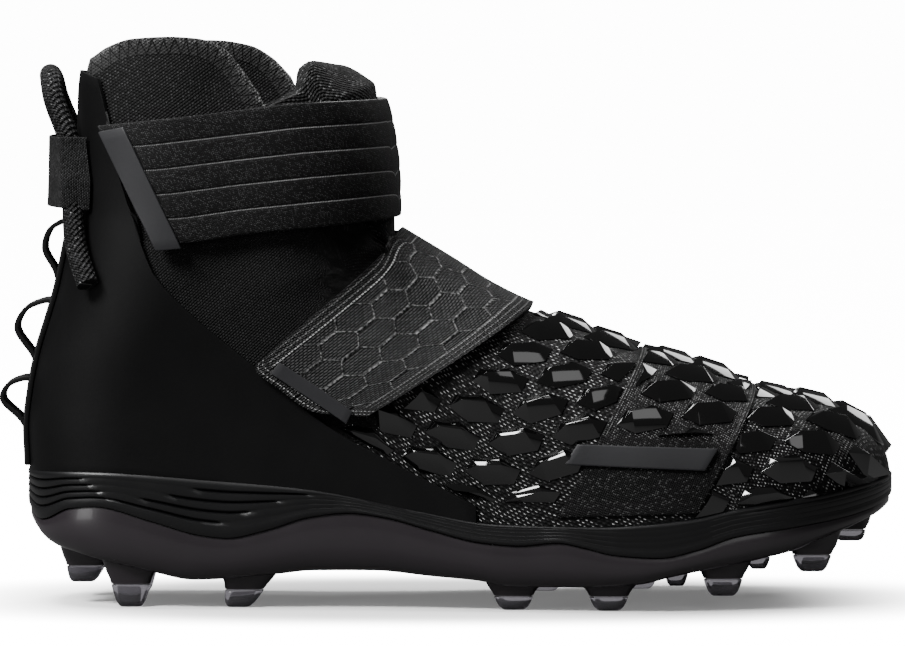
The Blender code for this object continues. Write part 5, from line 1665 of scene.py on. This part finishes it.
def build_midsole():
    """Sidewall and core over the plate, with two sets of grooves along the side."""
    lip = 2.5 * MM
    core = -1.3 * MM
    soft_end = 0.006

    def past(x, share):
        return smooth_step(x, along(share - soft_end), along(share + soft_end))

    def groove(number):
        """One of the side's grooves: short at the heel, longer at the arch, each set slanted."""
        heel_end = 0.074 + 0.010 * number
        start, end = 0.200 - 0.030 * number, 0.330 - 0.033 * number
        toe_deep = 0.3 if number == 0 else 0.0

        def offset(x):
            heel_set = 1 - past(x, heel_end)
            arch_set = past(x, start) * (1 - past(x, end))
            toe_set = toe_deep * smooth_step(x, along(0.80), along(0.84))
            return lip - 1.2 * MM * max(heel_set, arch_set, toe_set)

        return offset

    levels = [
        (-3.0 * MM, side_height(1.0)),
        (lip - 0.9 * MM, side_height(1.0)),
        (lip - 0.3 * MM, side_height(0.97)),
        (lip, side_height(0.92)),
    ]
    for number in range(4):
        middle = 0.80 - 0.18 * number
        levels += [
            (lip, side_height(middle + 0.050)),
            (lip - 0.1 * MM, side_height(middle + 0.035)),
            (groove(number), side_height(middle)),
            (lip - 0.1 * MM, side_height(middle - 0.035)),
        ]
    levels += [
        (lip, side_height(0.19)),
        (lip - 0.1 * MM, side_height(0.05)),
        (lip - 0.4 * MM, side_height(0.0)),
        (core, side_height(0.0)),
        (core, lambda x: plate_floor(x) + 0.3 * MM),
    ]
    piece = ringed("midsole_looks", levels)
    finish(piece, "black_foam_rubber", [FOAM], "midsole", angle=50)


def build_outsole():
    """Plate with a side wall, joined with the flared bases of the studs."""
    lip = 1.5 * MM

    def between(share):
        return lambda x: lerp(plate_bottom(x), sole_joint(x), share)

    levels = [
        (lip - 2.5 * MM, plate_floor),
        (lip - 2.5 * MM, sole_joint),
        (lip - 0.2 * MM, sole_joint),
        (lip, between(0.96)),
        (lip + 0.1 * MM, between(0.70)),
        (lip, between(0.45)),
        (lip - 0.8 * MM, between(0.26)),
        (lip - 2.0 * MM, between(0.12)),
        (lip - 3.4 * MM, between(0.03)),
        (lip - 5.0 * MM, plate_bottom),
    ]
    piece = ringed("outsole_looks", levels)
    join(piece, [stud_body("boss_" + row[0], row, BOSS_SECTIONS, flare=True) for row in STUDS])
    finish(piece, "smoky_plate", [SMOKY], "outsole", angle=45)


# share of the stud's height up from its tip, length, width
TIP_SECTIONS = (
    (0.0, 7.0, 3.8), (0.03, 8.2, 4.8), (0.14, 10.2, 6.4), (0.34, 12.0, 7.6), (0.53, 13.4, 8.3),
)
BOSS_SECTIONS = (
    (0.53, 13.5, 8.4), (0.66, 14.8, 9.1), (0.80, 16.8, 10.0), (0.92, 19.6, 11.6),
    (1.0, 23.0, 13.4),
)
STUD_SIDES = 24
STUD_SQUARE = 0.6
# the base's top section follows the plate and widens past this share of the height
FLARE_FROM = 0.92
FLARE_RISE = 25 * MM


def stud_body(name, row, sections, flare=False):
    """A blade stud's tip or base, lofted from oval sections."""
    label, share, side, tip, lean = row
    x = along(share)
    middle = (medial_width(x) - lateral_width(x)) / 2
    y = middle + side * (plan_width(x) - STUD_INSET)
    foot = Vector((x, y, tip * STUD_HEIGHT))
    root = Vector((x + lean, y, plate_bottom(x + lean) + (1.0 * MM if flare else 0.0)))
    size = SMALL_STUD if label.startswith("centre") else 1.0
    points = []
    faces = []
    for at, long_side, wide_side in sections:
        centre = foot.lerp(root, at)
        for k in range(STUD_SIDES):
            turn = 2 * math.pi * k / STUD_SIDES
            c, s = math.cos(turn), math.sin(turn)
            px = math.copysign(abs(c) ** STUD_SQUARE, c) * long_side * MM / 2 * size
            py = math.copysign(abs(s) ** STUD_SQUARE, s) * wide_side * MM / 2 * size
            spot = centre + Vector((px, py, 0.0))
            if flare and at >= FLARE_FROM:
                spot.z = plate_bottom(spot.x) + (at - FLARE_FROM) * FLARE_RISE
            points.append(spot + SHIFT)
    for level in range(len(sections) - 1):
        a, b = level * STUD_SIDES, (level + 1) * STUD_SIDES
        for k in range(STUD_SIDES):
            j = (k + 1) % STUD_SIDES
            faces.append((a + k, a + j, b + j, b + k))
    faces.append(tuple(reversed(range(STUD_SIDES))))
    faces.append(tuple(range(len(points) - STUD_SIDES, len(points))))
    return piece_of(name, points, faces)


def build_studs():
    for row in STUDS:
        piece = stud_body("tip_looks_" + row[0], row, TIP_SECTIONS)
        bevel(piece, 0.3 * MM, angle=60)
        finish(piece, "clear_tip", [CLEAR], "stud_" + row[0])


def build_insole():
    """Insole in the upper, as rings of how far it is set in and how high over the feather line."""
    rings = ((5.0, 0.6), (4.2, 1.4), (4.5, 3.4), (5.4, 4.2), (7.2, 4.5))

    def over(rise):
        return lambda x: sole_top(x) + rise * MM

    piece = ringed("insole_looks", [(-inset * MM, over(rise)) for inset, rise in rings])
    finish(piece, "black_knit", [INNER], "insole", angle=50)


# ---- stage ----


def seen_directly(tree, direct, through, indirect, kind):
    """Mixes what the camera sees, what clear rubber lets through, and what lights the shoe."""
    seen = put(tree, "LightPath").outputs
    clear = seen["Is Transmission Ray"]
    dark_side = put(tree, "MixShader", i0=clear, i1=indirect.outputs[0], i2=through.outputs[0])
    camera = seen["Is Camera Ray"]
    both = put(tree, "MixShader", i0=camera, i1=dark_side.outputs[0], i2=direct.outputs[0])
    out = next(node for node in tree.nodes if node.type == kind)
    feed(tree, out, Surface=both.outputs[0])


def build_floor():
    """White glowing floor with a painted shadow: its glow fades in a soft patch round the
    footprint, where the shoe's own soft shadow from the lamps shows too.
    """
    all_off()
    bpy.ops.mesh.primitive_plane_add(size=FLOOR_SIZE, location=(0, 0, -FLOOR_DROP))
    floor = bpy.context.object
    floor.name = "studio_floor"
    pale, tree, shader = new_material("pale_floor")
    x, y = axes(tree, put(tree, "TexCoord").outputs["Object"])
    grown = abs(x / PAINTED_SHADOW_X) ** PAINTED_SHADOW_SQUARE + abs(y / PAINTED_SHADOW_Y) ** PAINTED_SHADOW_SQUARE
    away = grown ** (1 / PAINTED_SHADOW_SQUARE)
    soft = {"interpolation_type": "SMOOTHSTEP"}
    glow = put(tree, "MapRange", soft, Value=away, From_Min=0.55, From_Max=1.15)
    # painted shadow: the floor's glow fades to near black in a soft patch round the footprint
    patch = mix(tree, Reading(tree, glow.outputs[0]) ** 2.2, 0.012, 1.0)
    feed(tree, shader, Base_Color=full_colour(0.9), Roughness=0.8, Specular_IOR_Level=0.0)
    feed(tree, shader, Emission_Color=patch, Emission_Strength=WHITE)
    through = put(tree, "Emission", Color=full_colour(1.0), Strength=0.9)
    dim = put(tree, "BsdfDiffuse", Color=full_colour(0.10))
    seen_directly(tree, shader, through, dim, "OUTPUT_MATERIAL")
    floor.data.materials.append(pale)


def build_world():
    """White room all round, dimmer as a light on the shoe than as it is seen."""
    world = bpy.data.worlds.new("studio")
    bpy.context.scene.world = world
    world.use_nodes = True
    tree = world.node_tree
    bright = tree.nodes["Background"]
    feed(tree, bright, Color=full_colour(1.0), Strength=WHITE)
    through = put(tree, "Background", Color=full_colour(1.0), Strength=0.9)
    dim = put(tree, "Background", Color=full_colour(1.0), Strength=0.10)
    seen_directly(tree, bright, through, dim, "OUTPUT_WORLD")


def build_lights():
    for name, place, size, power in LIGHTS:
        data = bpy.data.lights.new(name, "AREA")
        data.shape = "RECTANGLE"
        data.size, data.size_y = size
        data.energy = power
        light = bpy.data.objects.new(name, data)
        light.location = place
        light.rotation_euler = (LIGHT_AIM - Vector(place)).to_track_quat("-Z", "Y").to_euler()
        bpy.context.scene.collection.objects.link(light)


def build_camera():
    """Camera that shows the shoe as large and from the same side as the photo does."""
    data = bpy.data.cameras.new("camera")
    data.sensor_width = SENSOR
    data.lens = SENSOR * REACH / (PHOTO_WIDE * PIXEL)
    data.clip_start = 0.05
    camera = bpy.data.objects.new("camera", data)
    camera.location = AIM + REACH * Vector((0.0, -math.cos(TILT), math.sin(TILT)))
    camera.rotation_euler = (math.pi / 2 - TILT, 0.0, 0.0)
    bpy.context.scene.collection.objects.link(camera)
    bpy.context.scene.camera = camera


build_camera()
build_floor()
build_world()
build_lights()
build_upper()
build_shell()
build_straps()
build_all_scales()
build_tongue()
build_cord()
build_sleeve()
build_tape()
build_midsole()
build_outsole()
build_studs()
build_insole()
